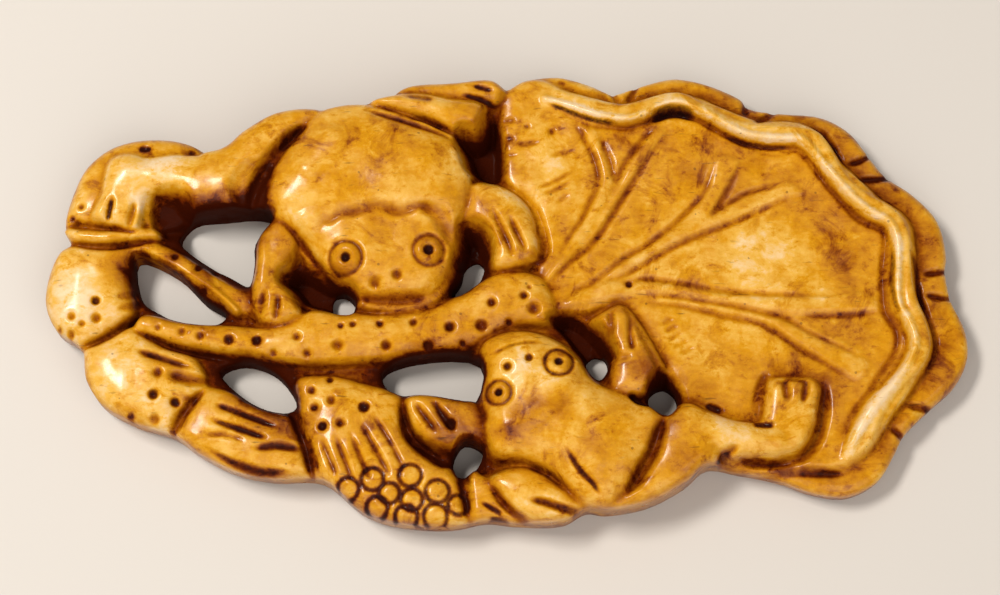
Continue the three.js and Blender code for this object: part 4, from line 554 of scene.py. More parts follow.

# %% [markdown]
# The stain isn't the same on like forms: some places were rubbed paler, and some soaked up more. Soft round
# patches on the paleness grid give these, placed from the photograph. Some patches are painted light instead:
# dark ones paint shade, over some stain, in the creases of the frogs' thighs, under the upper frog's leg and
# at the bud's edge by a piercing, and pale ones paint highlights on root joints, the thin stem's ridge, the
# upper frog's shoulder and the leaf.

# %% Stained and worn patches, and patches of painted shade and painted highlight, as x, y, reach and how much paler (or, below zero, darker) they are
PATCH_FALL = 0.6
STAIN_WEAR_AND_PAINTED_LIGHT_PATCHES = [
    # painted shade, over some stain: the dark patches from here to [-36.6, 12.4] lie in the upper frog's thigh
    # crease and under its leg
    [-21.9, 19.6, 0.9, -0.4], [-23.2, 18.4, 1, -0.5], [-24.6, 16.9, 1.2, -0.6], [-25.8, 15.2, 1.4, -0.7],
    [-26.5, 13.6, 1.6, -0.75], [-27.1, 12, 1.8, -0.75], [-27.6, 10.4, 2, -0.7], [-29.6, 10.1, 2, -0.6],
    [-31.4, 10.2, 1.9, -0.6], [-33.2, 10.3, 1.9, -0.6], [-35, 10.6, 1.9, -0.5], [-37, 11, 1.8, -0.4],
    [-38.7, 12.5, 1.3, -0.1], [-36.6, 12.4, 1.3, -0.15], [-39.6, 11.2, 1.4, 0.35], [-36, 5.3, 0.8, -0.6],
    # next line: [-38, 5.6] and [-34.4, 3.2] are painted highlight on the thin stem's ridge
    [-33.4, 3.8, 0.7, -0.6], [-31.7, 3.6, 0.7, -0.6], [-38, 5.6, 1.2, 0.5], [-34.4, 3.2, 1.1, 0.5],
    # next line: [15.6, -14.6], [16.6, -13.2] and [13.8, -18] are painted shade, over some stain, in the lower
    # frog's thigh crease
    [-41.2, 4.4, 1.9, -0.6], [15.6, -14.6, 1.4, -0.4], [16.6, -13.2, 1.4, -0.4], [13.8, -18, 1.3, -0.4],
    [9.9, -1.7, 1.5, 0.5], [14.6, -6.8, 1.5, -0.6], [13.2, -8.6, 1.2, 0.25], [0.5, 15.3, 0.9, -0.7],
    [5, 15.7, 2, 0.3], [3.4, 20.6, 2.6, 0.2], [2.6, 17.6, 2, 0.12], [5.5, 25.3, 1.4, 0.4],
    [8.8, 24.5, 1.6, 0.55], [12, 24, 1.6, 0.4], [-13.6, 8.7, 1.5, -0.35], [-13.1, 7.4, 0.8, -0.3],
    # next line: [-46.8, 1.2] and [-42.4, -8.2] are painted highlights on the middle and lower root joints
    [-46.8, 1.2, 3.4, 0.4], [-42.6, 3.6, 2.6, -0.3], [-42.4, -8.2, 3, 0.3], [-35.5, -7.4, 2.2, -0.4],
    [-41.4, 14.9, 2.4, 0.1], [-28, 14, 2.5, 0.15], [11.5, -8, 2, -0.1], [17.5, -13, 2, -0.15],
    # next line: [-37, 10.4] is painted shade under the upper frog's leg
    [47, 3, 3, -0.15], [42, -15.5, 3, -0.1], [-36.6, 14.9, 3, 0.25], [-37, 10.4, 3, -0.2],
    # next line: [-30.8, 11.6] is painted shade under the upper frog's leg, and [-23, 10.4] a painted highlight
    # on its shoulder
    [-30.8, 11.6, 2.5, -0.2], [-23, 10.4, 2.2, 0.25], [-16, 19.5, 2.5, -0.18], [-11, 17.5, 2, -0.12],
    [-6.4, 12.4, 2, -0.2], [-20.5, -10.4, 2.4, 0.2], [-13.5, -14, 2.4, -0.25], [-26.5, -13, 3, -0.25],
    # next line: [-25.6, -11.8] and [-23.7, -13.6] are painted shade at the bud's edge by a piercing
    [-25.6, -11.8, 1.5, -0.5], [-23.7, -13.6, 1.4, -0.5], [-28.4, -10.7, 1.4, -0.35],
    [-30.5, -13, 2.4, 0.2], [-30, -17, 2.4, 0.2], [0.6, -14, 1.6, -0.6], [-0.6, -13.9, 1.2, -0.3],
    [3.1, -10.9, 1.2, -0.6], [5.6, -11, 2, -0.3], [2, -12.4, 2.4, -0.35], [1.6, -6.4, 2.4, 0.3],
    [5, -8.2, 2, 0.2], [-0.6, -8.4, 1.5, 0.1], [14.5, -12.6, 2, 0.15], [8.6, -11, 2.6, 0.12],
    [4.4, -20, 2, -0.15], [20, -17.2, 3, -0.35], [10, -14.4, 3, -0.12], [-7, -12.4, 3, -0.35],
    [2.5, 1, 3, -0.12], [-4, 21, 3, -0.15], [24, -13.7, 2, 0.1], [2.6, 15.5, 3, 0.12],
    [3, 10.5, 2.4, 0.2], [20, 16, 3.4, -0.25], [13.4, 17.8, 1.8, -0.15], [29.4, 6, 5, 0.32],
    # next line: [34, 1.9] is a painted highlight on the leaf
    [36.4, 4.8, 3, -0.28], [34, 1.9, 1.8, 0.4], [24.5, 3.4, 4, 0.2], [19, 8.5, 3, 0.08],
    [14, 8, 3, -0.06], [33.8, -9.6, 4.4, -0.38], [28, -9, 3, -0.15], [19, -4.4, 4, 0.15],
    [13, -2.6, 2.6, 0.12], [30.4, -5.4, 1.8, 0.1], [38.5, -3.5, 2, -0.1], [-2.6, -12, 2, -0.15],
    [47, -5, 3, -0.12], [33, -19.8, 3, -0.1],
]
for x0, y0, reach, amount in STAIN_WEAR_AND_PAINTED_LIGHT_PATCHES:
    (cx, cy), = settle([[x0, y0]], at_places(crown, x0, y0))
    part, x, y = window(np.array([[cx, cy]]), reach * 2)
    # a patch shifts the paleness, for stain and wear and, at the patches noted above, for painted shade and
    # painted highlight
    pale[part] += amount * np.exp(-((x - cx) ** 2 + (y - cy) ** 2) / (PATCH_FALL * reach * reach))
print("laid", len(STAIN_WEAR_AND_PAINTED_LIGHT_PATCHES), "patches; paleness now from", round(float(pale.min()), 2),
      "to", round(float(pale.max()), 2))

# %% [markdown]
# Nine piercings go right through. Each is seen between its far edge at the back and its near edge at the top,
# so its points are stretched from one to the other. The edge of the plan is rounded on top and chamfered
# below, as a carver breaks a sharp edge.

# %% The plan's edge, with its piercings
RIM_ROUND = 1.2
BACK_ROUND = 0.5
RIM_UNDER = 1.8
UNDER_SLOPE = 0.8
HOLE_NEAR = -0.4
RIM_BAND = 0.8
# reach of the painted light that makes the outer rim paler
RIM_LIGHT_REACH = 1.4
HOLE_BAND = 2.5 * CELL
HOLE_MARGIN = 4
HOLES = [
    [[-35.8, 6.8], [-34.3, 8.6], [-31, 9], [-27, 9.2], [-25.3, 8.6], [-27.5, 6.3], [-27.4, 4.2],
     [-28, 2.5], [-30, 3.3], [-32.5, 4.4]],
    [[-40.4, 4.2], [-36, 2.8], [-32.8, 0.3], [-30.5, -1], [-31.6, -1.8], [-34.8, -1.9], [-37.5, -0.9],
     [-39.7, 0.4]],
    [[-4.5, 3.8], [-3.2, 4.3], [-2.5, 3.8], [-3, 2.4], [-5, 1.2], [-6, 1.4], [-5, 2.6]],
    [[-31, -8.2], [-28.5, -7.4], [-24.8, -8.4], [-22.7, -11.1], [-25, -11.6], [-28.3, -10.4]],
    [[-13.5, -8.2], [-10, -7.1], [-2.9, -7.3], [-3.4, -10.5], [-9.2, -9.9], [-12.5, -9.7]],
    [[-5.8, -17.5], [-4.6, -16.2], [-2.6, -16.8], [-3.6, -18.3], [-5.3, -18.7]],
    [[15.2, -11.3], [15.6, -10.4], [17, -10], [18.3, -10.7], [18.3, -11.7], [17.2, -12.5], [15.9, -12.1]],
    [[8.5, -6.9], [9.5, -6.4], [10.7, -6.6], [10.9, -7.4], [10, -7.9], [9, -7.6]],
    [[-18.9, 0.2], [-17.6, 0.3], [-16.5, -0.3], [-17, -1], [-18.8, -0.8]],
]
near_rim = inward < RIM_BAND
# painted light: paler towards the outer rim, to lift the shade on its rolled edge
rim_painted_light = np.clip(1 - inward / RIM_LIGHT_REACH, 0, 1)
back_height = UNDER_SLOPE * np.clip(RIM_UNDER - inward, 0, RIM_UNDER)
for at in HOLES:
    p = np.array(at, float)
    share = (p[:, 1] - p[:, 1].min()) / np.ptp(p[:, 1])
    p[:, 1] += HOLE_NEAR + share * (LEAN * MIDDLE_HEIGHT - HOLE_NEAR)
    line = curve(p, closed=True, steps=4)
    part, x, y = window(line, HOLE_MARGIN)
    inward[part] = np.minimum(inward[part], -depth_inside(line, x, y))
in_hole = ~near_rim & (inward < HOLE_BAND)
back_height = np.maximum(back_height, BACK_ROUND * (1 - roll(inward / BACK_ROUND)))
edge_fall = RIM_ROUND * (1 - roll(inward / RIM_ROUND))
print(len(HOLES), "piercings; share of the plan that is bone:", round(float((inward > 0).mean()), 3))

# %% [markdown]
# Tool marks come next. A mark was drawn where the eye sees it on the finished relief, so it is first moved to
# the place under that spot. Since the height there decides the move, and the move decides the height, three
# rounds of it are enough to settle. Pits are deep places that the carver stopped short of piercing.

# %% Where marks sit, and the pits
PIT_FLOOR = 1.1
PIT_MARGIN = 2
PIT_SEEN = 2
SEAT_ROUNDS = 3
crown = relief - edge_fall
PITS = [
    [PIT_FLOOR, [[-24.2, 2.2], [-22.5, 3.6], [-19.3, 2.1], [-16.4, 0], [-17.3, -1.1], [-21.8, -0.6],
     [-22.9, 0.7]]],
    [PIT_FLOOR, [[-5, 18.2], [-4.4, 16], [-3.4, 13.9], [-0.7, 13.3], [-0.8, 20], [-1.7, 21.4],
     [-2.3, 19.4], [-3.2, 18]]],
    [PIT_FLOOR, [[-4.6, 8], [-2.7, 7.4], [-2, 5.4], [-2.4, 4], [-5.4, 3.4], [-5, 5.6]]],
    [PIT_FLOOR + 1.2, [[3.3, 3.9], [4, 6.5], [3.2, 9.6], [2.6, 11.2], [3.3, 11], [4.4, 8], [4.7, 5.4]]],
    [PIT_FLOOR, [[4.7, -2.2], [6.8, -1.4], [9, -2.7], [10.4, -4.4], [11, -6.4], [9.6, -7.4], [7.6, -6],
     [6.2, -4.2]]],
    [PIT_FLOOR, [[15.7, -10.6], [16, -9.2], [17, -8.2], [17.8, -9.4], [17.8, -10.8]]],
    [GROUND, [[0.2, -17.3], [2.6, -17.6], [2.8, -18.1], [0.6, -17.9]]],
]


def seat(points):
    """Places of marks on the relief, found from where they are seen."""
    p = settle(points, MIDDLE_HEIGHT)
    for _ in range(SEAT_ROUNDS):
        p = settle(points, at_places(crown, p[:, 0], p[:, 1]))
    return p


for floor, at in PITS:
    line = curve(settle(at, floor + PIT_SEEN), closed=True, steps=4)
    part, x, y = window(line, PIT_MARGIN)
    wall = floor - WALL_SLOPE * depth_inside(line, x, y) + WALL_SLOPE
    relief[part] = -smooth_max(-relief[part], -wall, BLEND)
print("sank", len(PITS), "pits")

# %% [markdown]
# The frogs' eyes are a low mound with a scratched ring and a drilled pupil. Each mark also leaves ink or
# stain in it, from 0 for clean bone to 1 for black, which a third grid keeps for the material.

# %% Eyes, as x, y, radius of the ring and of the pupil, and ink in the ring
EYE_RING = 0.5
EYE_RISE = 0.45
EYE_SKIRT = 0.9
EYE_MARGIN = 4
RING_WIDTH = 0.32
PUPIL_DEPTH = 0.8
IRIS_INK = 0.3
EYES = [
    [-17.4, 5.15, 1.75, 0.6, 0.6], [-8.45, 6, 1.65, 0.65, 0.5], [5.5, -6.4, 1.5, 0.55, 0.8],
    [-0.9, -9.7, 1.3, 0.5, 0.65],
]
ink = np.zeros_like(relief)


def round_about(x0, y0, margin):
    """The part of the grid about a seated mark, with each place's distance from the middle of it."""
    (cx, cy), = seat([[x0, y0]])
    part, x, y = window(np.array([[cx, cy]]), margin)
    return part, np.hypot(x - cx, y - cy)


def ring_cut(gap, radius, width):
    return np.clip(1 - ((gap - radius) / width) ** 2, 0, 1)


for x0, y0, ring, pupil, ring_ink in EYES:
    part, gap = round_about(x0, y0, EYE_MARGIN)
    mound = 1 - np.clip(gap / (ring + EYE_SKIRT), 0, 1) ** 2
    share = ring_cut(gap, ring, RING_WIDTH)
    hole = np.clip(1 - (gap / pupil) ** 4, 0, 1)
    relief[part] += EYE_RISE * mound * mound - EYE_RING * share - PUPIL_DEPTH * hole
    within = IRIS_INK * (gap < ring)
    ink[part] = np.maximum(ink[part], np.maximum(np.maximum(ring_ink * share, np.sqrt(hole)), within))
print("made", len(EYES), "eyes")

# %% [markdown]
# A stroke is a gouge's path with a width, a depth and an ink. It thins out towards both ends, as the tool
# enters and leaves. A wide one with a depth below zero raises a soft fill instead, which rounds off a back
# or a shin. The lists follow the carver over the plaque: points, width, depth and ink.

# %% Cut a stroke
GROOVE = 0.75
INK_LINE = 0.45
STROKE_SPARE = 0.1
TIP_SHARE = 0.06
FADE_START = 0.15
FADE_RATE = 6


def cut_stroke(points, width, depth, colour):
    line = curve(seat(curve(points, steps=2)), steps=2)
    part, x, y = window(line, width)
    gap, along = nearest(line, x, y)
    half = width / 2 * np.sqrt(np.maximum(4 * along * (1 - along), TIP_SHARE)) + STROKE_SPARE
    share = np.clip(1 - (gap / half) ** 2, 0, 1)
    fade = np.clip(FADE_START + FADE_RATE * along * (1 - along), 0, 1)
    relief[part] -= depth * share * fade
    ink[part] = np.maximum(ink[part], colour * fade * np.sqrt(share))


def cut_strokes(where, strokes):
    for stroke in strokes:
        cut_stroke(*stroke)
    print("cut", len(strokes), "strokes on the", where)


print("a groove is", GROOVE, "mm deep, and an ink line", INK_LINE, "mm")

# %% Upper frog: collar, jaw, mouth, thigh and foot lines, toes and fingers
cut_strokes("upper frog", [
    [[[-20, 9.5], [-19.3, 9.25], [-18, 10.05], [-16.3, 10.35], [-15.3, 10.75], [-14, 11.05],
     [-12.8, 10.65], [-11.5, 10.35], [-10.3, 10.75], [-9.5, 11.05], [-8.6, 11], [-7.8, 10.25]], 1.3, 0.45,
     0.15],
    [[[-9.6, 10.9], [-7.8, 10.4], [-6.8, 9], [-6, 6.4]], 2.2, 0.7, 0.05],
    [[[-24.4, 9.3], [-22.9, 7.6], [-21, 5], [-19, 2.6], [-17, 0.9]], 0.6, 0.6, 0.3],
    [[[-16.2, 1], [-14.8, 0.8], [-12, 0.7], [-10, 0.85], [-8.4, 1.3]], 1.2, 0.5, 0.2],
    [[[-21.8, 20], [-23, 19.2], [-24.1, 18.2], [-25.1, 17.1], [-26, 15.7], [-26.9, 14.3], [-27.4, 12.9],
     [-27.7, 11.4], [-27.8, 10]], 1.6, 1.1, 0.05],
    [[[-21.8, 20], [-23, 19.2], [-24.1, 18.2], [-25.1, 17.1]], 0.6, 0.3, 0.4],
    [[[-17.5, 19.6], [-21, 16.8], [-22.6, 14.4]], 5, -0.4, 0],
    [[[-22.6, 10], [-20.6, 8]], 3.4, -0.35, 0],
    [[[-26.8, 8], [-26.9, 4], [-26.6, 1.4]], 2.6, -0.35, 0],
    [[[-15.6, 21.9], [-13.5, 21.2], [-10, 20.1], [-7, 19], [-5.3, 18.2]], 0.6, 0.5, 0.5],
    [[[-12, 21.3], [-9, 20.6], [-6.5, 19.6], [-5.5, 18.9], [-3.2, 17.9]], 0.7, 0.6, 0.5],
    [[[-11.5, 23.5], [-9, 23.2], [-8, 23]], 0.8, INK_LINE, 0.6],
    [[[-3.8, 24.7], [-1.5, 24.1]], 0.55, INK_LINE, 0.8],
    [[[-5, 23.7], [-3, 23.2], [-1.2, 22.4]], 0.55, INK_LINE, 0.8],
    [[[-26.4, 16.2], [-27.8, 13.4], [-29.2, 10.6]], 4.6, 1.2, 0],
    [[[-38.9, 10.3], [-36.8, 10.2], [-34.2, 9.8]], 5.4, 2.3, 0],
    [[[-42.8, 12], [-43.3, 9.2]], 0.6, GROOVE, 0.9],
    [[[-40.3, 11.5], [-41, 8.4]], 0.7, GROOVE, 0.5],
    [[[-26.2, 1.6], [-26.65, -1.3]], 0.75, GROOVE, 0.4],
    [[[-24.55, 1], [-24.9, -1.7]], 0.75, GROOVE, 0.4],
    [[[-1.6, 10.6], [-0.9, 9.1], [-0.3, 7.85], [0.3, 6.4], [0.5, 5.2]], 0.7, GROOVE, 0.35],
    [[[0.3, 9.8], [0.8, 8.6], [1.5, 7.1], [2.1, 5.9]], 0.7, GROOVE, 0.35],
])

# %% [markdown]
# Root, bud and pod are told apart by their marks: short scratches and a ring on the root, petal strokes that
# fan out on the bud, and straight flutes on the pod, cut side by side with one tool.

# %% Root joints, and the grooves under the stem
cut_strokes("root joints", [
    [[[-47.9, 6.7], [-43, 6.4], [-38, 7.2]], 0.9, 0.9, 0.4],
    [[[-47.6, 8.8], [-45.2, 8.7]], 0.7, 0.5, 0.3],
    [[[-39.3, -1.2], [-42, -3], [-46.2, -5.4]], 0.9, 0.9, 0.5],
    [[[-42.2, 4.3], [-40.4, 2.9]], 0.7, 0.3, 0.25],
    [[[-42.2, 0.9], [-40, 0.9]], 0.9, 0.35, 0.25],
    [[[-41.9, -0.6], [-39.5, 0]], 0.8, 0.35, 0.35],
    [[[-41.6, -2.6], [-39.6, -0.9]], 0.6, 0.35, 0.2],
    [[[-36.3, -7.6], [-34.2, -8.2], [-32, -8.6]], 1.6, 0.9, 0.4],
    [[[-44.7, 9.2], [-43.2, 8.7], [-41.2, 8.2], [-39.8, 8.3]], 0.6, 0.45, 0.4],
    [[[-32.4, -9.4], [-34.5, -12], [-36.2, -15.2]], 1.1, 0.8, 0.25],
    [[[-40.4, -2.9], [-38.3, -3.8], [-36, -5], [-33, -5.7], [-29.6, -6.4]], 0.8, 0.8, 0.5],
    [[[-39.7, -5.1], [-37.3, -5.9], [-33.6, -7.1]], 0.9, 0.7, 0.65],
    [[[-40.3, 17.5], [-38.9, 17.4]], 0.75, INK_LINE, 0.85],
    [[[-34.9, 17.1], [-34, 16.9]], 0.6, INK_LINE, 0.8],
])

# %% Petals of the bud, and its border with the pod
cut_strokes("bud", [
    [[[-31.2, -11], [-28.8, -11.9], [-24.2, -13.7]], 0.75, 0.6, 0.75],
    [[[-31.6, -12.7], [-28.5, -13.7], [-25.4, -14.8]], 0.75, 0.6, 0.75],
    [[[-27, -15.8], [-24.4, -15.5], [-21.8, -16]], 1, 0.6, 0.65],
    [[[-32, -15.8], [-29.5, -17.2], [-27.5, -18], [-25.3, -18.4], [-23.2, -18.3]], 0.8, 0.5, 0.65],
    [[[-32.2, -14.3], [-30, -14.3], [-28, -15]], 0.6, 0.35, 0.35],
    [[[-23.2, -12.3], [-21.7, -15.5], [-20.6, -19.8]], 0.9, 0.9, 0.5],
])

# %% Flutes of the seed pod, all alike, and its edges
FLUTE = (0.5, 0.5, 0.35)
FLUTES = [
    [[-21.3, -14.5], [-20, -18.5]],
    [[-19.8, -14.9], [-18.1, -18.9]],
    [[-18.3, -14.6], [-16.4, -19.2]],
    [[-16.8, -14], [-15, -18.2], [-14.6, -19]],
    [[-15.6, -13.1], [-12.4, -18.8]],
    [[-14.3, -12.2], [-12.5, -15], [-11, -18]],
]
cut_strokes("seed pod", [[points, *FLUTE] for points in FLUTES])
cut_strokes("edges of the pod", [
    [[[-11.2, -10.8], [-10.5, -14.5], [-8, -16.8], [-5.8, -18.2]], 1.4, 1.3, 0.5],
    [[[-5.3, -18.8], [-4.6, -21], [-4.2, -23.7]], 0.8, GROOVE, 0.6],
])

# %% [markdown]
# The lower frog has the same marks as the upper one, cut a little finer. A trench round its foot sets it off
# from the leaf, and lens-shaped ink marks lie along its leg.

# %% Lower frog: mouth, collar, fingers, back line and thigh grooves
cut_strokes("lower frog", [
    [[[-1.5, -5.6], [-0.6, -5], [0.9, -4.4], [2.4, -4.2], [3.9, -4.3]], 0.4, 0.2, 0.55],
    [[[-2.4, -12.8], [1.4, -11.4], [4.6, -8.6], [7.4, -6.6]], 5.4, -0.42, 0],
    [[[11.1, -0.7], [11.2, -3.4]], 0.75, GROOVE, 0.3],
    [[[10.2, -5], [11.8, -5.8], [13.2, -5.6]], 1, 0.45, 0.15],
    [[[12.2, 0.2], [14.4, -3.2], [15.8, -6], [16.9, -9]], 0.9, 0.5, 0.3],
    [[[13, -10], [14, -10.7], [15.2, -11.4]], 0.7, 1.6, 0.95],
    [[[13.2, -1.2], [13.3, -4.3], [13.6, -4.9]], 0.75, GROOVE, 0.4],
    [[[-9.9, -10.8], [-7.5, -14]], 0.75, GROOVE, 0.45],
    [[[-8, -10.5], [-6.5, -12.7], [-5.5, -13.9]], 0.9, GROOVE, 0.6],
    [[[6.2, -15.5], [7.1, -17.1], [8, -18.4], [9, -19.4], [9.8, -20.7]], 0.6, 0.4, 0.8],
    [[[16.8, -12.4], [16.2, -13.8], [15.5, -15.9], [14.5, -17.7], [13.5, -19.4], [12.8, -20.4]], 1.6, 1.1,
     0],
    [[[-1.8, -19.4], [-0.2, -21.8], [2.7, -23.9]], 0.8, GROOVE, 0.4],
    [[[2.3, -21.2], [4, -21.5], [6, -22.2], [8.4, -23.1]], 1, GROOVE, 0.6],
    [[[-2.8, -21.6], [-1.3, -22.5], [-0.5, -23]], 0.55, INK_LINE, 0.8],
    [[[-2, -23.4], [0.3, -24.1]], 0.55, INK_LINE, 0.8],
    [[[2.3, -17.9], [4, -18.5], [6, -20]], 0.7, 0.6, 0.4],
])

# %% Foot of the lower frog: toes, the trench round it and ink lenses on the shin
cut_strokes("foot of the lower frog", [
    [[[29.8, -8.3], [29.8, -9.3], [29.9, -10.6]], 0.9, GROOVE, 0.35],
    [[[32, -8.4], [31.9, -9.4], [31.5, -10.9]], 0.9, GROOVE, 0.35],
    [[[28.4, -8.7], [30.6, -8.4], [32.8, -8.7]], 0.4, 0.35, 0.5],
    [[[34.3, -8.7], [34, -11], [33.5, -13.5], [32.3, -16], [31, -17], [29, -17.4], [26, -17.1],
     [24.4, -16.3]], 1.7, 0.9, 0],
    [[[30.4, -17.5], [27, -17.4], [24.6, -16.6]], 0.6, 0.5, 0.5],
    [[[28, -7.6], [27.4, -8.4], [26.9, -9.8], [26.4, -11.4]], 0.8, 0.4, 0.1],
    [[[21.2, -11.2], [23.1, -11.9]], 0.8, INK_LINE, 0.85],
    [[[26.1, -13.3], [28.5, -13.3]], 0.75, INK_LINE, 0.85],
    [[[22.1, -18.1], [23.5, -16.1], [24.6, -15.5]], 0.9, 0.9, 0.5],
])

# %% [markdown]
# On the leaf, one groove follows the lip on each side, a dark slit opens under the crest, and notches in
# pairs stand for the folds of the frill. Two fine lines run along each vein, and hatching fills the floor.

# %% Lip of the leaf: the undercut of its crest, the fold inside it and its border with the frill
cut_strokes("lip of the leaf", [
    [[[4.2, 22.9], [6, 22.4], [8, 21.5], [9.5, 20.9], [11, 20.5], [13, 20.4], [15, 20.8], [16.2, 21.4],
     [17.5, 21.9], [19, 21.9], [20.5, 21.5], [22, 20.6], [24, 19.4], [26, 18.4], [27.5, 17.9], [30, 17.8],
     [32, 18]], 0.5, 0.7, 0.35],
    [[[15.6, 21.1], [17, 21.7], [19, 21.9], [21, 21.2]], 1.3, 0.9, 0.95],
    [[[26.5, 17.4], [28, 17], [30, 16.8], [32.3, 17.4], [33.5, 15.5], [35, 13.3], [36.5, 11.5],
     [37.7, 10], [39, 9], [41, 8.2], [40.9, 6], [40.7, 4], [40.6, 1], [40.8, -1], [41.9, -3], [42, -4.5],
     [41.2, -6.3], [39.8, -8.2], [38.8, -9.8], [37.2, -11.7], [36.4, -13.3], [36.2, -15]], 0.7, 0.35,
     0.12],
    [[[41.8, 7.4], [41.8, 4.6], [41.6, 2.4], [41.9, 0.2], [42.6, -1.6]], 0.4, 0.3, 0.75],
    [[[23.5, 19.3], [26, 18.2], [29, 17.6], [31.6, 17.9]], 0.45, 0.3, 0.7],
    [[[6, 25], [8, 24.1], [10, 23.4], [12, 22.9], [13, 22.9], [15, 23.3], [17, 23.9], [18.5, 24.1],
     [20, 23.8], [21.5, 23], [23, 22.1], [24.5, 21.3], [26, 20.7], [28, 20.5], [30, 20.4], [32.5, 20.2],
     [34.5, 19.4], [35.7, 17.8], [36.7, 15.8], [37.5, 14.3], [38.3, 13.4], [40, 12.3], [41.5, 11.4],
     [43, 10.2], [43.8, 8.5], [44.2, 6.5], [44.2, 4.5], [44.2, 3], [44.6, 1], [45.1, -0.5], [45.8, -2.5],
     [46.2, -4.5], [45.4, -6.5], [43.9, -8.1], [42.1, -9.8], [40.8, -11.6], [39.9, -13.5], [39.2, -15.3],
     [37.8, -16.8], [36, -17.8], [34, -18.1], [30, -18.3], [28, -18.5]], 0.8, 0.4, 0.15],
    [[[33, 20.1], [34.6, 19.3], [35.8, 17.8], [37, 15.4]], 0.5, 0.3, 0.6],
    [[[43.8, 6.5], [44.3, 4], [44.6, 1], [45.4, -1.4]], 0.9, 0.4, 0.6],
    [[[5.5, 25.3], [6.5, 25]], 0.5, 0.3, 0.5],
    [[[28, -18.6], [32, -18.3], [36, -18.8]], 1.1, 0.6, 0.5],
])

# %% The paired notches of the frill, all alike
NOTCH = (0.6, GROOVE, 0.4)
NOTCHES = [
    [[11.3, 24.6], [12.3, 22.9]],
    [[14.5, 24.9], [13.2, 22.9]],
    [[26.5, 23.2], [26.2, 21.3]],
    [[30, 21.9], [27.2, 20.5]],
    [[40.2, 16.7], [37.4, 15.7]],
    [[42.3, 14], [38.3, 14.1]],
    [[48.2, 3.6], [45.3, 3.3]],
    [[48.7, 0.4], [45.4, 1]],
    [[46.1, -11.9], [43.1, -11.3]],
    [[43.1, -15.3], [41.1, -13.6]],
]
cut_strokes("frill", [[points, *NOTCH] for points in NOTCHES])

# %% Lines on both sides of each vein
cut_strokes("veins", [
    [[[5.6, 5.2], [7, 7.9], [8, 9.2], [9, 11.3], [9.9, 13.3], [9.9, 15], [9.3, 17], [8.3, 19],
     [7.5, 20.6]], 0.75, 0.4, 0.14],
    [[[11.7, 13.6], [11.4, 15.5], [10.8, 17.3], [10, 19.3]], 0.75, 0.4, 0.14],
    [[[11.9, 13.3], [12.5, 15.2], [13.7, 17], [15.2, 18.9], [16.2, 19.7]], 0.75, 0.4, 0.14],
    [[[3.9, 1.8], [5.8, 3.7], [7.3, 5.1], [9, 6.5], [10.8, 9], [12.5, 11.7], [14, 14.2], [15.8, 17],
     [17.8, 19.7]], 0.75, 0.45, 0.16],
    [[[6.1, -0.1], [7.5, 1.5], [9, 2.2], [10.7, 3.5], [13, 5.3], [14.8, 6.3], [18.3, 9], [20.3, 11],
     [21.5, 12.5], [22.3, 14.5], [23, 16.9]], 0.7, 0.4, 0.14],
    [[[22.2, 9.8], [23.3, 11.5], [24.3, 13.3], [25.6, 16]], 0.7, 0.4, 0.14],
    [[[22.3, 10], [25.7, 12.2], [28, 13], [30.4, 13.7]], 0.7, 0.35, 0.14],
    [[[10.8, 2.7], [12.3, 3], [15.7, 4.9], [18.3, 6.5], [20.8, 7.7], [25, 9.3], [28, 10.7], [30.5, 11.8],
     [32.5, 12.4]], 0.7, 0.4, 0.14],
    [[[10.7, 2.5], [13.2, 2.5], [14.9, 2.8], [17.4, 2.5], [19.9, 2.1], [23.2, 1.4], [27.6, 1.1], [33, 1],
     [39.1, 1.4]], 0.7, 0.4, 0.16],
    [[[32, -1.3], [36, -1.2], [40.3, -0.8]], 0.7, 0.4, 0.16],
    [[[13.2, 1.3], [15.7, 0.95], [18.2, 0.8], [21.5, 0.25], [24, -0.1], [27.5, -0.95], [29.8, -1.5],
     [33, -3.3], [36.5, -5], [39.2, -6.4]], 0.7, 0.4, 0.14],
    [[[14.5, 0.1], [18.2, -0.1], [19.9, -0.4], [23.2, -1.3], [27.5, -2.2], [31, -4.6], [35, -7],
     [37.5, -8.6]], 0.7, 0.4, 0.14],
])

# %% Hatching, gouges and the narrow slit in the leaf
cut_strokes("leaf floor", [
    [[[3.4, 13], [5, 13.7], [7.1, 14.9]], 0.5, 0.2, 0.35],
    [[[3.8, 12.3], [5.4, 12.9], [7, 13.9]], 0.5, 0.2, 0.25],
    [[[4.6, 16.6], [7.4, 17.4]], 0.5, 0.2, 0.25],
    [[[5.4, 11.4], [6.8, 12.4]], 0.5, 0.2, 0.2],
    [[[16.7, -2.3], [17.9, -1.5]], 0.55, 0.25, 0.1],
    [[[17, -3.2], [18.4, -2.3]], 0.55, 0.25, 0.2],
    [[[17.4, -4], [18.9, -3.1]], 0.55, 0.25, 0.1],
    [[[17.9, -4.8], [19.5, -4]], 0.55, 0.25, 0.15],
    [[[18.6, -5.5], [20.1, -4.8]], 0.55, 0.25, 0.1],
    [[[1.1, 18], [3.5, 18.2]], 0.7, 0.2, 0.45],
    [[[4.4, 22.8], [5.6, 22.4], [7.4, 21.7], [9.4, 21], [11, 20.7], [12.8, 20.5]], 0.4, 0.5, 0.85],
    [[[5.2, 22], [7.8, 20.9], [10.4, 20.1], [14.4, 19.6]], 0.4, 0.25, 0.3],
    [[[-0.4, 20.6], [0.9, 20.8]], 0.5, 0.3, 0.2],
    [[[-0.4, 18.6], [0.8, 18.7]], 0.5, 0.3, 0.25],
    [[[-0.4, 16.7], [1.1, 16.9]], 0.5, 0.3, 0.25],
])

# %% [markdown]
# Drilled dots stand for warts, seeds and pores of the root. Most are lightly stained, and a few hold black.
# The seeds of the pod are rings from a tube drill, which overlap a little here and there.

